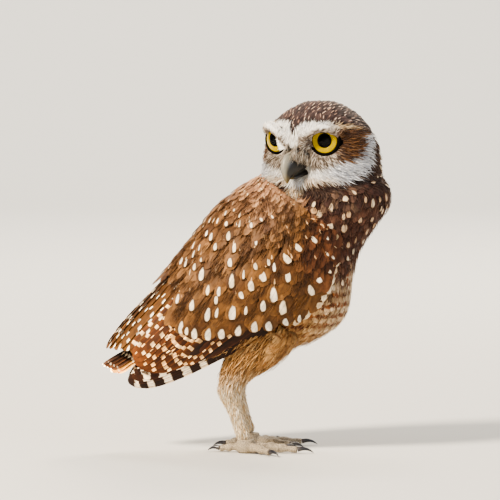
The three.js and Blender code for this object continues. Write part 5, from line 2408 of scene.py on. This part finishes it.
    def _wisps(self, name: str, zones: tuple[Zone, ...], spacing: float, size: float, seed: int) -> Piece:
        """Grows loose hair-like wisps over the contour feathers.

        Args:
            name: Names the piece.
            zones: Where they grow.
            spacing: Least distance between roots.
            size: Their length.
            seed: Starts the random numbers.

        Returns:
            The piece.
        """
        random = np.random.default_rng(seed)
        mask = np.isin(self.skin.zone, [zone.value for zone in zones])
        roots, normals = self.skin.scatter(mask, spacing, seed)
        count = len(roots)
        length = size * (1 + 0.25 * random.normal(size=count)) * (1 + 0.2 * ease(80, 60, roots[:, 2]))
        shaft, outward = self.shafts(
            roots, normals, length, 1.0, 3.6 + 0.4 * random.normal(size=count), 5,
            random.normal(0, 0.22, count),
        )
        ground = self.markings.ground(roots, random) * np.exp(random.normal(0.08, 0.25, (count, 1)))
        paint = Paint(hem=0.0).values(count, random, ground=np.minimum(ground, 1))
        draft = Draft()
        Barb(curl=0.1).grow(draft, Strands(shaft, outward, 0.46, self.patch(roots), paint), seed + 1)
        return draft.build(f"wisps_{name}")

    def build(self) -> list[Piece]:
        """Grows the body's coat.

        Returns:
            Its pieces.
        """
        pieces = [self._tract(tract, 11 + number) for number, tract in enumerate(self.tracts)]
        pieces.append(self._wisps("belly", (Zone.BELLY,), 1.6, 11, 31))
        pieces.append(self._wisps("back", (Zone.MANTLE, Zone.NAPE, Zone.BREAST), 1.6, 8, 33))
        return dress(pieces, Plume("body_plume", roughness=0.66, fade=0.22, bare_tip=-5.0))


@dataclass
class HeadCoat(Plumage):
    """The streaked cap and nape, and the bristly feathers of the face."""

    cap: Vane = Vane(rows=7, columns=5, camber=0.2, tilt=0.08, fray=0.2, thickness=0.16)

    def _cap(self) -> Piece:
        """Grows crown and nape."""
        random = np.random.default_rng(41)
        mask = self.skin.zone == Zone.CROWN.value
        bearing, z = head_polar(self.skin.middle)
        rear = ease(95, 125, np.abs(bearing)) * ease(200, 188, z)
        roots, normals = self.skin.scatter(mask, 1.3 + 0.8 * rear, 41)
        count = len(roots)
        bearing, z = head_polar(roots)
        rear = ease(95, 125, np.abs(bearing)) * ease(200, 188, z)
        length = (5.6 + 2.6 * rear) * (1 + 0.12 * random.normal(size=count))
        shuffle = random.permutation(count)
        kept = shuffle[thin_out(roots[shuffle], 2.7 + 1.6 * rear[shuffle])]
        spotted = np.zeros(count, bool)
        spotted[kept] = True
        rise = 0.8 + 1.1 * rear + np.where(spotted, 0.2, -0.1) + 0.1 * random.normal(size=count)
        shaft, outward = self.shafts(
            roots, normals, length, -0.2, rise, 5, random.normal(0, 0.12, count)
        )
        width = (2.3 + 2.7 * rear) * (1 + 0.1 * random.normal(size=count))
        paint = Paint(mark=("#a9806a", "#e2cab6"), spot=(0.3, 1.6, 1.8, 0.0), strength=0.85)
        cap, nape = (pick(codes, random.random(count)) for codes in (CAP, NAPE))
        values = paint.values(count, random, ground=mix(cap, nape, rear[:, None]), spotted=spotted)
        values["spot"][:, :3] *= np.where(values["spot"][:, 2:3] > 0, 1 + rear[:, None] * [2.4, 0.3, 0.3], 1)
        draft = Draft()
        self.cap.grow(draft, Strands(shaft, outward, width, self.patch(roots), values), 42)
        return draft.build("feathers_crown")

    def _face(self) -> Piece:
        """Grows the fine feathers of brow, lores, cheeks and chin."""
        random = np.random.default_rng(45)
        middle = self.skin.middle
        mask = (self.skin.zone == Zone.FACE.value) & ~self._bare(middle)
        roots, normals = self.skin.scatter(mask, 0.74, 45)
        count = len(roots)
        bearing, z = head_polar(roots)
        bearing = np.abs(bearing)
        length = 4.6 + 2.2 * ease(30, 60, bearing) + 1.2 * ease(172, 160, z)
        length = length * mix(1.0, 0.75, ease(190, 197, z))
        near = np.min([np.linalg.norm(roots - Eye(side).centre, axis=1) for side in Side], axis=0)
        length = length * mix(0.62, 1.0, ease(11, 17, near))
        left, ahead = (np.abs((roots - HEAD_CENTRE) @ axis) for axis in (HEAD_LEFT, HEAD_FORWARD))
        beside = np.hypot(left, np.maximum(z - 177, 0) + 3 * np.maximum(167 - z, 0))
        length = length * mix(0.5, 1.0, ease(6, 13, beside) + (ahead < 15))
        length = length * (1 + 0.14 * random.normal(size=count))
        tuft = ease(26, 40, bearing) * ease(190, 194, z) * ease(66, 54, bearing)
        length = length * (1 + 0.1 * tuft)
        rise = length * (0.24 + 0.04 * tuft + 0.06 * random.normal(size=count))
        shaft, outward = self.shafts(
            roots, normals, length, -0.1, rise, 4, random.normal(0, 0.16, count)
        )
        ground = self.markings.face(shaft[:, 1], random)
        width = 0.62 + 0.1 * random.random(count)
        paint = Paint(hem=0).values(count, random, ground=ground)
        draft = Draft()
        Barb(curl=0.12).grow(draft, Strands(shaft, outward, width, self.patch(roots), paint), 46)
        return draft.build("feathers_face")

    def _bristles(self) -> Piece:
        """Grows the stiff bristles that spread from the bill's base over its sides."""
        random = np.random.default_rng(51)
        draft = Draft()
        count = 520
        for side in Side:
            down = random.random(count) ** 1.25
            apart = 4.5 * random.random(count) ** 1.4
            forward = mix(30.5, 18.5, down) - 0.5 * apart
            left = side.value * (mix(1.5, 8.0, down**0.8) + apart * mix(0.2, 0.7, down))
            z = mix(182.4, 174.8, down) + apart * mix(0.9, 0.6, down)
            aimed = head_point(forward, left, z)
            root = self.skin.nearest(aimed)[0]
            goal = head_point(40 + 0 * down, side.value * mix(2.2, 4.6, down), mix(173.0, 165.0, down))
            aim = unit(goal - root) + HEAD_LEFT * (side.value * 0.22) + 0.14 * random.normal(size=(count, 3))
            length = (mix(7.4, 3.6, down) + 0.5 * apart) * (1 + 0.16 * random.normal(size=count))
            t = np.linspace(0, 1, 4)[None, :, None]
            shaft = root[:, None] + unit(aim)[:, None] * length[:, None, None] * t
            shaft = shaft - UP * 0.22 * (t**2) * length[:, None, None]
            outward = np.broadcast_to(unit(HEAD_FORWARD + HEAD_LEFT * side.value * 0.8), shaft.shape)
            ground = pick(("#3a2e26", "#9c8c7a", "#e6dccd", "#6a5849"), random.random(count))
            paint = Paint(hem=0).values(count, random, ground=ground)
            Barb(curl=0.15).grow(draft, Strands(shaft, outward, 0.42, self.patch(root), paint), 52)
        # White bristles that cross from the bill's root towards the near eye
        count = 300
        low = random.random(count)
        root = head_point(29.0, mix(-9.5, -7.0, low) + 2.5 * random.random(count), mix(195.0, 182.5, low))
        root = self.skin.nearest(root)[0]
        left = mix(-14.6, -11.2, low) + 0.5 * random.normal(size=count)
        tip = head_point(27.6, left, mix(193.4, 181.0, low))
        t = np.linspace(0, 1, 4)[None, :, None]
        shaft = mix(root[:, None], tip[:, None], t) + HEAD_FORWARD * (1.2 * np.sin(math.pi * t))
        outward = np.broadcast_to(HEAD_FORWARD, shaft.shape)
        paint = Paint(hem=0).values(count, random, ground=pick(WHITE, random.random(count)))
        Barb(curl=0.1).grow(draft, Strands(shaft, outward, 0.7, self.patch(root), paint), 53)
        return draft.build("bristles_bill")

    @staticmethod
    def _bare(points: Array) -> Array:
        """Tells where eyes and bill leave no room for roots.

        Args:
            points: Points, in millimetres.

        Returns:
            Which of them lie there.
        """
        bare = np.zeros(len(points), bool)
        for side in Side:
            eye = Eye(side)
            away = points - eye.centre
            ahead = away @ eye.gaze
            reach = np.linalg.norm(away - eye.gaze * ahead[:, None], axis=1)
            bare |= (ahead > 0) & (reach < 9.0)
        away = points - HEAD_CENTRE
        left = np.abs(away @ HEAD_LEFT)
        ahead = away @ HEAD_FORWARD
        bare |= (left < 7) & (ahead > 16) & (points[:, 2] > 165.5) & (points[:, 2] < 179.5)
        return bare

    def build(self) -> list[Piece]:
        """Grows the head's coat.

        Returns:
            Its pieces.
        """
        return dress([self._cap(), self._face(), self._bristles()], Plume(
            "head_plume", roughness=0.7, sheen=0.1, barb_depth=0.08, shaft=0.0, streak=0.12, mottle=0.12,
            # base sets how dark the painted shade at each vane's root is
            base=0.95,
        ))


@dataclass
class LegCoat(Plumage):
    """Short soft feathers of thighs and shanks, down to the toes."""

    def patch(self, roots: Array) -> Array:
        """Places roots on the unwrap of the legs."""
        side = np.sign(roots[:, 1])
        turn = np.arctan2(roots[:, 1] - side * STANCE, roots[:, 0] + 8)
        return np.stack([0.5 + side * (0.25 + turn * 0.035 * 2), 0.05 + roots[:, 2] / 90], axis=-1)

    def build(self) -> list[Piece]:
        """Grows the coat of both legs.

        Returns:
            One piece for each side.
        """
        pieces = []
        for number, side in enumerate(Side):
            random = np.random.default_rng(61 + number)
            middle = self.skin.middle
            mask = (self.skin.zone == Zone.LEG.value) & (middle[:, 1] * side.value > 0) & (middle[:, 2] > 9.5)
            spacing = mix(0.85, 1.15, ease(36, 46, middle[:, 2]))
            roots, normals = self.skin.scatter(mask, spacing, 61 + number)
            count = len(roots)
            high = ease(34, 48, roots[:, 2])
            length = mix(4.2, 8.6, high) * (1 + 0.15 * random.normal(size=count))
            length = np.minimum(length, 2.2 + (roots[:, 2] - 8) * 0.9)
            rise = mix(0.8, 1.7, high) * (1 + 0.25 * random.normal(size=count))
            shaft, outward = self.shafts(
                roots, normals, length, -0.1, rise, 4, random.normal(0, 0.2, count)
            )
            paint = Paint(hem=0).values(count, random, ground=self.markings.ground(roots, random))
            draft = Draft()
            strands = Strands(shaft, outward, mix(0.62, 0.95, high), self.patch(roots), paint)
            Barb(curl=0.12).grow(draft, strands, 65 + number)
            pieces.append(draft.build(f"feathers_leg_{side.title}"))
        return dress(pieces, Plume("leg_plume", roughness=0.72, barb_depth=0.06, shaft=0.0))


@dataclass(frozen=True)
class Tier:
    """One row of wing feathers: tips and roots by place and angle, sizes in millimetres."""

    count: int
    tips: tuple[tuple[float, float], ...]
    width: float
    paint: Paint
    sink: float
    rise: float
    roots: tuple[tuple[float, float], ...] | None = None
    length: float = 14.0
    step: float = 0.0
    vane: Vane = Vane(rows=14, columns=9, camber=0.05, tilt=0.1, fray=0.1)
    jitter: float = 0.0
    fringe: int = 0
    part: str = "coverts"


LONG = Vane(
    rows=26, columns=9, camber=0.04, tilt=0.1, fray=0.04, thickness=0.25, shaft=0.62,
    outline=((0, 0.25), (0.1, 0.55), (0.3, 0.9), (0.6, 1), (0.85, 0.97), (0.94, 0.8), (0.98, 0.5), (1, 0.15)),
)
COVERT = Vane(
    rows=13, columns=7, camber=0.09, tilt=0.05, fray=0.26, thickness=0.16,
    outline=((0, 0.3), (0.15, 0.62), (0.4, 0.95), (0.65, 1), (0.82, 0.9), (0.93, 0.62), (1, 0.14)),
)


@dataclass
class WingCoat:
    """One folded wing's flight feathers, coverts and shoulder feathers."""

    side: Side
    millimetres_per_place: float = 21.0
    lesser_rows: int = 7
    scapular_rows: int = 9
    # Degrees that a covert turns down for each place that it runs back
    lean: float = 10.0
    spots: Array = field(default_factory=partial(spots_on_wing, WING_SPOTS))

    @property
    def run(self) -> Array:
        """Place and angle that a millimetre along a covert, from tip to root, adds."""
        return np.array([1 / self.millimetres_per_place, -self.lean / self.millimetres_per_place])

    @staticmethod
    def patch(roots: Array) -> Array:
        """Places roots on the unwrap of the wing."""
        return np.stack([0.06 + roots[:, 0] / 10, 0.04 + roots[:, 1] / 150], axis=-1)

    def _tiers(self) -> list[Tier]:
        """Lists the rows, from the lowest layer to the highest."""
        tiers = [
            Tier(7, ((0.08, 129), (0.12, 121), (0.35, 112), (0.8, 104)), 12,
                 Paint(("#1c0d06", "#341a0c"), ("#d8bd98", "#f2e4ce"), hem=0.9, bars=(11.2, 0.4, 7.0, 0.42)),
                 -3.8, -2.9, ((4.3, 124), (4.7, 108)), step=0.12, vane=LONG, part="flight"),
            Tier(11, ((2.5, 119), (1.9, 116), (1.25, 111), (0.9, 102), (0.72, 90), (0.8, 76)), 12,
                 Paint(("#371c0a", "#4e2a11"), ("#cb9a63", "#e6c595"), hem=1.4, bars=(7.6, 2.1, 3.7, 0.34)),
                 -4.2, -1.7, ((5.0, 106), (4.6, 96), (4.2, 84), (3.8, 70), (3.4, 56)), step=0.16, vane=LONG,
                 part="flight"),
            Tier(6, ((0.75, 70), (0.5, 57), (0.25, 44), (0.1, 31), (0.0, 18), (0.1, 7)), 14,
                 Paint(("#412611", "#583818", "#6e4a2a"), ("#ecd9ba", "#f6ead4"), hem=0.7,
                       spot=(1.2, 2.6, 3.0, 3.0), bars=(10.5, 3.2, 3.0, 0.26)),
                 -3.0, -0.5, ((3.6, 56), (3.4, 42), (3.2, 28), (3.1, 16), (3.0, 8)), step=0.2, vane=LONG,
                 part="flight"),
            Tier(14, ((2.0, 68), (2.65, 91), (3.74, 108), (5.5, 127)), 10, Paint(hem=0.35), -2.8, 0.3,
                 length=27, vane=COVERT),
            Tier(13, ((2.6, 54), (3.3, 83), (4.6, 98), (6.2, 124)), 9.5, Paint(hem=0.3), -2.4, 0.7, length=20,
                 vane=COVERT),
        ]
        low = [(2.6, 54), (3.3, 83), (4.6, 98), (6.2, 124)]
        high = [(3.2, 50), (5.2, 62), (6.4, 64), (7.6, 76), (8.3, 86)]
        front = [(6.2, 124), (7.1, 126), (7.8, 122), (8.1, 106), (8.3, 86)]
        for row in range(1, self.lesser_rows + 1):
            share = row / (self.lesser_rows + 1)
            ends = along(front, np.array([share]))[0]
            rear, middle = (
                mix(along(low, np.array([s]))[0], along(high, np.array([s]))[0], share) for s in (0.0, 0.5)
            )
            tips = (tuple(rear), tuple(middle), tuple(mix(middle, ends, 0.6)), tuple(ends))
            paint = Paint(spot=(0.6, 1.6, 1.8, 0.7), mark=("#a8754a", "#d9b488"))
            tiers.append(Tier(19, tips, 6.6, paint, -2.2, mix(0.9, 1.2, share), length=14, vane=COVERT,
                              jitter=1.0, fringe=6))
        top = [(2.2, 1), (4, 1), (5.5, 9), (7, 25), (8.3, 41)]
        for row in range(self.scapular_rows):
            share = row / (self.scapular_rows - 1)
            tips = tuple(tuple(mix(along(high, np.array([s]))[0], along(top, np.array([s]))[0], share))
                         for s in (0.0, 0.25, 0.5, 0.75, 1.0))
            paint = Paint(spot=(0.6, 1.9, 2.4, 0.4), mark=("#a8754a", "#e6d0ae"))
            tiers.append(Tier(21, tips, 6.6, paint, -2.0, mix(1.2, 1.8, share), length=16, vane=COVERT,
                              jitter=1.0, fringe=6, part="shoulder"))
        tiers.append(Tier(
            12, ((5.0, 127), (6.2, 127.5), (7.2, 126), (7.9, 119)), 4.6,
            Paint(("#c8a880", "#e6d2b0"), ("#6e4529", "#8a5c3a"), hem=0.0, spot=(1.0, 1.6, 6.0, 0.0)),
            -2.6, 0.5, length=10, vane=COVERT, jitter=0.3, fringe=3,
        ))
        return tiers

    @staticmethod
    def _ground(spots: Array, random: np.random.Generator) -> Array:
        """Finds the ground colour of coverts: paler on the shoulder, darkest at the bend of the wing.

        Args:
            spots: Place and angle of each feather.
            random: Source of random numbers.

        Returns:
            A colour for each feather.
        """
        place, degrees = spots.T
        patch = 0.5 + 0.25 * np.sin(place * 4.1 + degrees * 0.09) * np.cos(degrees * 0.17 - place * 1.7)
        luck = np.clip(patch + random.normal(0, 0.13, len(spots)), 0, 1)
        pale = ease(84, 36, degrees) * mix(0.1, 0.85, ease(4.6, 7.0, place))
        colour = mix(pick(BROWN, luck), pick(SHOULDER, luck), pale[:, None])
        bend = ease(5.4, 6.4, place + random.normal(0, 0.15, len(spots))) * ease(84, 98, degrees)
        return mix(colour, pick(DUSK, luck), bend[:, None])

    def _spotted(self, draft: Draft) -> None:
        """Lays the coverts whose large spots stand out.

        Args:
            draft: The mesh to add to.
        """
        random = np.random.default_rng(79)
        _, degrees, half, length = self.spots.T
        count = len(half)
        back = length + 0.9
        tips = self.spots[:, :2] - back[:, None] * self.run
        roots = tips + (10 + 1.5 * length)[:, None] * self.run
        rise = np.interp(degrees, [5, 60, 125], [2.2, 1.6, 1.15]) + 0.1 * random.normal(size=count)
        shaft, outward = WingCloak(self.side).shafts(roots, tips, -2.2, rise, 9)
        spot = np.stack([half, length, back, 0.1 * half], axis=-1)
        paint = Paint(hem=0.2, mark=("#ead6b6", "#f8ecd8")).values(
            count, random, ground=self._ground(tips, random), spot=spot
        )
        strands = Strands(shaft, outward, 2 * half + 4, self.patch(roots), paint)
        COVERT.grow(draft, strands, 79, -float(self.side.value))

    def _loose(self, draft: Draft) -> None:
        """Lays loose barbs over the coverts, beside the large spots.

        Args:
            draft: The mesh to add to.
        """
        random = np.random.default_rng(77)
        count = 6000
        place = 2.2 + 6 * random.random(count)
        top, low = (np.interp(place, np.arange(9), edge) for edge in (WING_TOP, WING_LOW))
        degrees = mix(top + 5, low - 6, random.random(count))
        length = 6.5 * (1 + 0.2 * random.normal(size=count))
        tips = np.stack([place, degrees], axis=-1)
        roots = tips + length[:, None] * self.run
        clear = place > np.interp(degrees, [0, 68, 91, 108, 127], [3.0, 2.0, 2.65, 3.74, 5.5]) + 0.1
        reach = 1 / (self.spots[:, [3, 2]] + 1.0)
        for share in (0.0, 0.5, 1.0):
            away = mix(tips, roots, share)[:, None] - self.spots[None, :, :2]
            away = away * [self.millimetres_per_place, 0.68] * reach
            clear &= (np.hypot(*np.moveaxis(away, -1, 0)) > 1).all(axis=1)
        tips, roots = tips[clear], roots[clear]
        count = len(tips)
        rise = np.interp(tips[:, 1], [5, 60, 90, 125], [2.2, 1.7, 1.35, 1.0])
        rise = rise + 0.12 * random.normal(size=count)
        shaft, outward = WingCloak(self.side).shafts(roots, tips, 0.3, rise, 4)
        ground = self._ground(tips, random) * np.exp(random.normal(0.05, 0.22, (count, 1)))
        paint = Paint(hem=0.0).values(count, random, ground=ground)
        Barb(curl=0.1).grow(draft, Strands(shaft, outward, 0.36, self.patch(roots), paint), 78)

    def build(self) -> list[Piece]:
        """Grows the wing.

        Returns:
            Its pieces.
        """
        cloak = WingCloak(self.side)
        mirror = -float(self.side.value)
        drafts = {"flight": Draft(), "coverts": Draft(), "shoulder": Draft()}
        for number, tier in enumerate(self._tiers()):
            random = np.random.default_rng(80 + number)
            long = tier.roots is not None
            share = np.arange(tier.count) / (tier.count - 1)
            shift = random.normal(0, 0.35, tier.count) * tier.jitter
            tips = along(list(tier.tips), np.clip(share + shift / tier.count, 0, 1))
            length = tier.length * (1 + 0.05 * random.normal(size=tier.count))
            own = {}
            if long:
                roots = along(list(tier.roots), share)
            else:
                tips += random.normal(0, 1, tips.shape) * np.array([0.09, 1.6]) * tier.jitter
                step = (length / self.millimetres_per_place)[:, None]
                roots = tips + step * np.array([1, -self.lean])
                roots[:, 0] = np.minimum(roots[:, 0], 8.7)
                own["spotted"] = random.random(tier.count) < 0.3
                if tier.paint.hem:
                    own["ground"] = self._ground(tips, random)
            stack = tier.step * np.arange(tier.count)
            rise = tier.rise + stack + 0.15 * tier.jitter * random.normal(size=tier.count)
            shaft, outward = cloak.shafts(roots, tips, tier.sink + stack, rise, 14 if long else 8)
            paint = tier.paint.values(tier.count, random, **own)
            if number == 1:
                # The two outermost secondaries are plain and dark
                paint["bars"][:2, 1] = 99
                paint["bars"][:, 2] += 3.8 * (np.arange(tier.count) % 2)
                paint["ground"][:2, :3] = pick(("#1c0d06", "#341a0c"), random.random(2))
            if number == 0:
                # The bars of the primaries line up from one to the next
                level = self.millimetres_per_place * (tips[:, 0] - 1) + 16.8
                paint["bars"][:, 2] = level + random.normal(0, 0.5, tier.count)
            width = tier.width * (1 + 0.05 * random.normal(size=tier.count))
            strands = Strands(shaft, outward, width, self.patch(roots), paint)
            tier.vane.grow(drafts[tier.part], strands, 80 + number, mirror)
            if tier.fringe:
                tier.vane.fringe(drafts[tier.part], strands, 90 + number, tier.fringe)
        self._spotted(drafts["coverts"])
        self._loose(drafts["shoulder"])
        pieces = [draft.build(f"wing_{name}_{self.side.title}") for name, draft in drafts.items()]
        return dress(pieces, Plume(f"wing_plume_{self.side.title}", roughness=0.58, streak=0.13, lean=0.5))


@dataclass
class TailCoat:
    """The closed tail: twelve barred feathers and two rows of coverts over their roots."""

    feathers: int = 6
    spread: float = 46.0

    def build(self) -> list[Piece]:
        """Grows the tail.

        Returns:
            Its piece, in a list.
        """
        arch = TailArch()
        random = np.random.default_rng(120)
        draft = Draft()
        count = self.feathers
        share = np.arange(count) / (count - 1)
        for side in Side:
            angle = side.value * mix(5, self.spread, share)
            roots = np.stack([np.full(count, 0.02), angle * 0.6], axis=-1)
            tips = np.stack([1 - 0.2 * share + random.normal(0, 0.012, count), angle], axis=-1)
            rise = -0.5 - 0.9 * np.arange(count)
            shaft, outward = arch.shafts(roots, tips, rise - 1.2, rise, 12)
            patch = np.stack([0.5 + angle / 140, 0.1 + 0 * angle], axis=-1)
            paint = Paint(("#26140a", "#3d2414"), ("#d8c4a4", "#f2e6d0"), hem=3.4, spot=(9.0, 0.8, 0.0, 0.0),
                          bars=(11.5, 1.5, 1.0, 0.16), strength=0.9).values(count, random)
            paint["ground"][-2:, :3] = pick(TAN, np.array([0.3, 0.7]))
            LONG.grow(draft, Strands(shaft, outward, 7.5, patch, paint), 121, float(side.value))
        for row, (reach, lift, spread) in enumerate(((0.62, 0.2, 42.0), (0.42, 0.9, 38.0))):
            angle = np.linspace(-spread, spread, 9)
            roots = np.stack([np.full(9, -0.1), angle * 0.7], axis=-1)
            tips = np.stack([reach - 0.08 * np.abs(angle) / spread, angle], axis=-1)
            shaft, outward = arch.shafts(roots, tips, -1.0, np.full(9, lift - 0.3), 8)
            patch = np.stack([0.5 + angle / 140, 0.3 + 0.1 * row + 0 * angle], axis=-1)
            paint = Paint(spot=(1.4, 2.6, 4.0, 0.0)).values(9, random)
            COVERT.grow(draft, Strands(shaft, outward, 9.5, patch, paint), 125 + row)
        return dress([draft.build("feathers_tail")], Plume("tail_plume", roughness=0.6))


# Room


@dataclass
class Studio:
    """Pale floor and sweep, soft lights and the camera."""

    scale: float = 0.6
    elevation: float = 4.0
    distance: float = 2.7
    aim: tuple[float, float, float] = (0.001784, 0.0, 0.1203)

    def build(self) -> None:
        """Sets up the room."""
        self._camera()
        self._floor()
        self._light("key", (-1.5, -1.3, 1.7), 0.55, 150.0, "#fff1dc")
        self._light("fill", (1.7, -1.5, 0.8), 1.2, 11.0, "#d9e6ff")
        self._light("rim", (0.7, 1.5, 1.6), 0.7, 26.0, "#fff0da")
        self._light("front", (0.1, -2.6, 0.5), 1.0, 6.0, "#fff8ee")
        self._light("sweep", (0.0, 1.3, 2.3), 1.2, 70.0, "#fbf6ee", (0.0, 3.2, 0.4))
        world = bpy.data.worlds.new("studio_air")
        world.use_nodes = True
        world.node_tree.nodes["Background"].inputs["Color"].default_value = rgba("#e6ebf0")
        world.node_tree.nodes["Background"].inputs["Strength"].default_value = 0.36
        bpy.context.scene.world = world
        bpy.context.scene.view_settings.look = "AgX - Medium High Contrast"

    def _camera(self) -> None:
        """Sets the camera at the photo's viewing angle."""
        data = bpy.data.cameras.new("camera")
        camera = bpy.data.objects.new("camera", data)
        bpy.context.scene.collection.objects.link(camera)
        rise = math.radians(self.elevation)
        aim = Vector(self.aim)
        camera.location = aim + Vector((0, -math.cos(rise), math.sin(rise))) * self.distance
        camera.rotation_euler = (math.pi / 2 - rise, 0, 0)
        data.sensor_width = 36.0
        data.lens = 36.0 * self.distance / (500 * self.scale * MM)
        data.clip_start, data.clip_end = 0.05, 30
        bpy.context.scene.camera = camera

    def _floor(self) -> None:
        """Lays the floor, which sweeps up behind the bird."""
        profile = [(-4.0, 0.0), (-1.0, 0.0), (1.0, 0.0), (2.4, 0.0)]
        turned = np.linspace(0.1, math.pi / 2, 12)
        profile += [(2.4 + 0.8 * math.sin(a), 0.8 - 0.8 * math.cos(a)) for a in turned]
        profile += [(3.2, 4.5)]
        line = np.array(profile)
        across = np.linspace(-4, 4, 9)
        points = np.stack([
            np.broadcast_to(across[None], (len(line), 9)),
            np.broadcast_to(line[:, :1], (len(line), 9)),
            np.broadcast_to(line[:, 1:], (len(line), 9)),
        ], axis=-1).reshape(-1, 3)
        draft = Draft()
        draft.add(points / MM - STAND, grid_quads(len(line), 9))
        floor = draft.build("floor")
        floor.data.materials.append(StudioPaint().make())

    @staticmethod
    def _light(
        name: str, place: tuple[float, float, float], size: float, power: float, colour: str,
        aim: tuple[float, float, float] = (0.0, 0.0, 0.12),
    ) -> None:
        """Hangs one soft light, aimed at the bird unless told otherwise."""
        data = bpy.data.lights.new(name, "AREA")
        data.shape = "DISK"
        data.size = size
        data.energy = power
        data.color = srgb(colour).tolist()
        light = bpy.data.objects.new(name, data)
        light.location = place
        light.rotation_euler = (Vector(aim) - Vector(place)).to_track_quat("-Z", "Y").to_euler()
        bpy.context.scene.collection.objects.link(light)


def place_piece(piece: Piece, slot: str, *nodes: str) -> None:
    """Ties a piece to the frame.

    Args:
        piece: The piece.
        slot: The record's material slot; not used.
        *nodes: The solids it stands for.
    """
    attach(piece, "root")
    if nodes:
        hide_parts(*nodes)
    log.info("%s: %d faces", piece.name, len(piece.data.polygons))


def main() -> None:
    """Builds the bird piece by piece."""
    logging.basicConfig(level=logging.INFO, format="%(message)s")
    Studio().build()

    markings = Markings()
    skin = Skin()
    body = skin.build()
    skin.sort(markings)
    skin.dress(body, markings)
    place_piece(body, "body_feathers", "torso", "neck", "head", "thigh_right", "thigh_left",
                "tarsus_right", "tarsus_left")

    for piece in BodyCoat(skin, markings).build():
        place_piece(piece, "body_feathers", "torso", "neck")
    for piece in HeadCoat(skin, markings).build():
        place_piece(piece, "head_feathers", "head")
    for piece, side in zip(LegCoat(skin, markings).build(), Side):
        place_piece(piece, "leg_feathers", f"thigh_{side.title}", f"tarsus_{side.title}")
    for side in Side:
        for piece in WingCoat(side).build():
            place_piece(piece, "wing_feathers", f"wing_{side.title}")
    for piece in TailCoat().build():
        place_piece(piece, "tail_feathers", "tail")

    for side in Side:
        for piece in EyeBuilder().build(side):
            place_piece(piece, "eye", f"eye_{side.title}")
    place_piece(Lids().build(), "head_feathers", "head")
    upper, lower = Bill().build()
    place_piece(upper, "beak_horn", "beak_upper")
    place_piece(lower, "beak_horn", "beak_lower")
    toes = [toe.name.lower() for toe in Toe]
    right_foot, right_claws, left_foot, left_claws = Feet().build()
    for name, foot, claws in (("right", right_foot, right_claws), ("left", left_foot, left_claws)):
        place_piece(foot, "toe_skin", f"foot_{name}", *[f"toe_{name}_{toe}" for toe in toes])
        place_piece(claws, "claw_horn", *[f"claw_{name}_{toe}" for toe in toes])


if __name__ == "__main__":
    main()
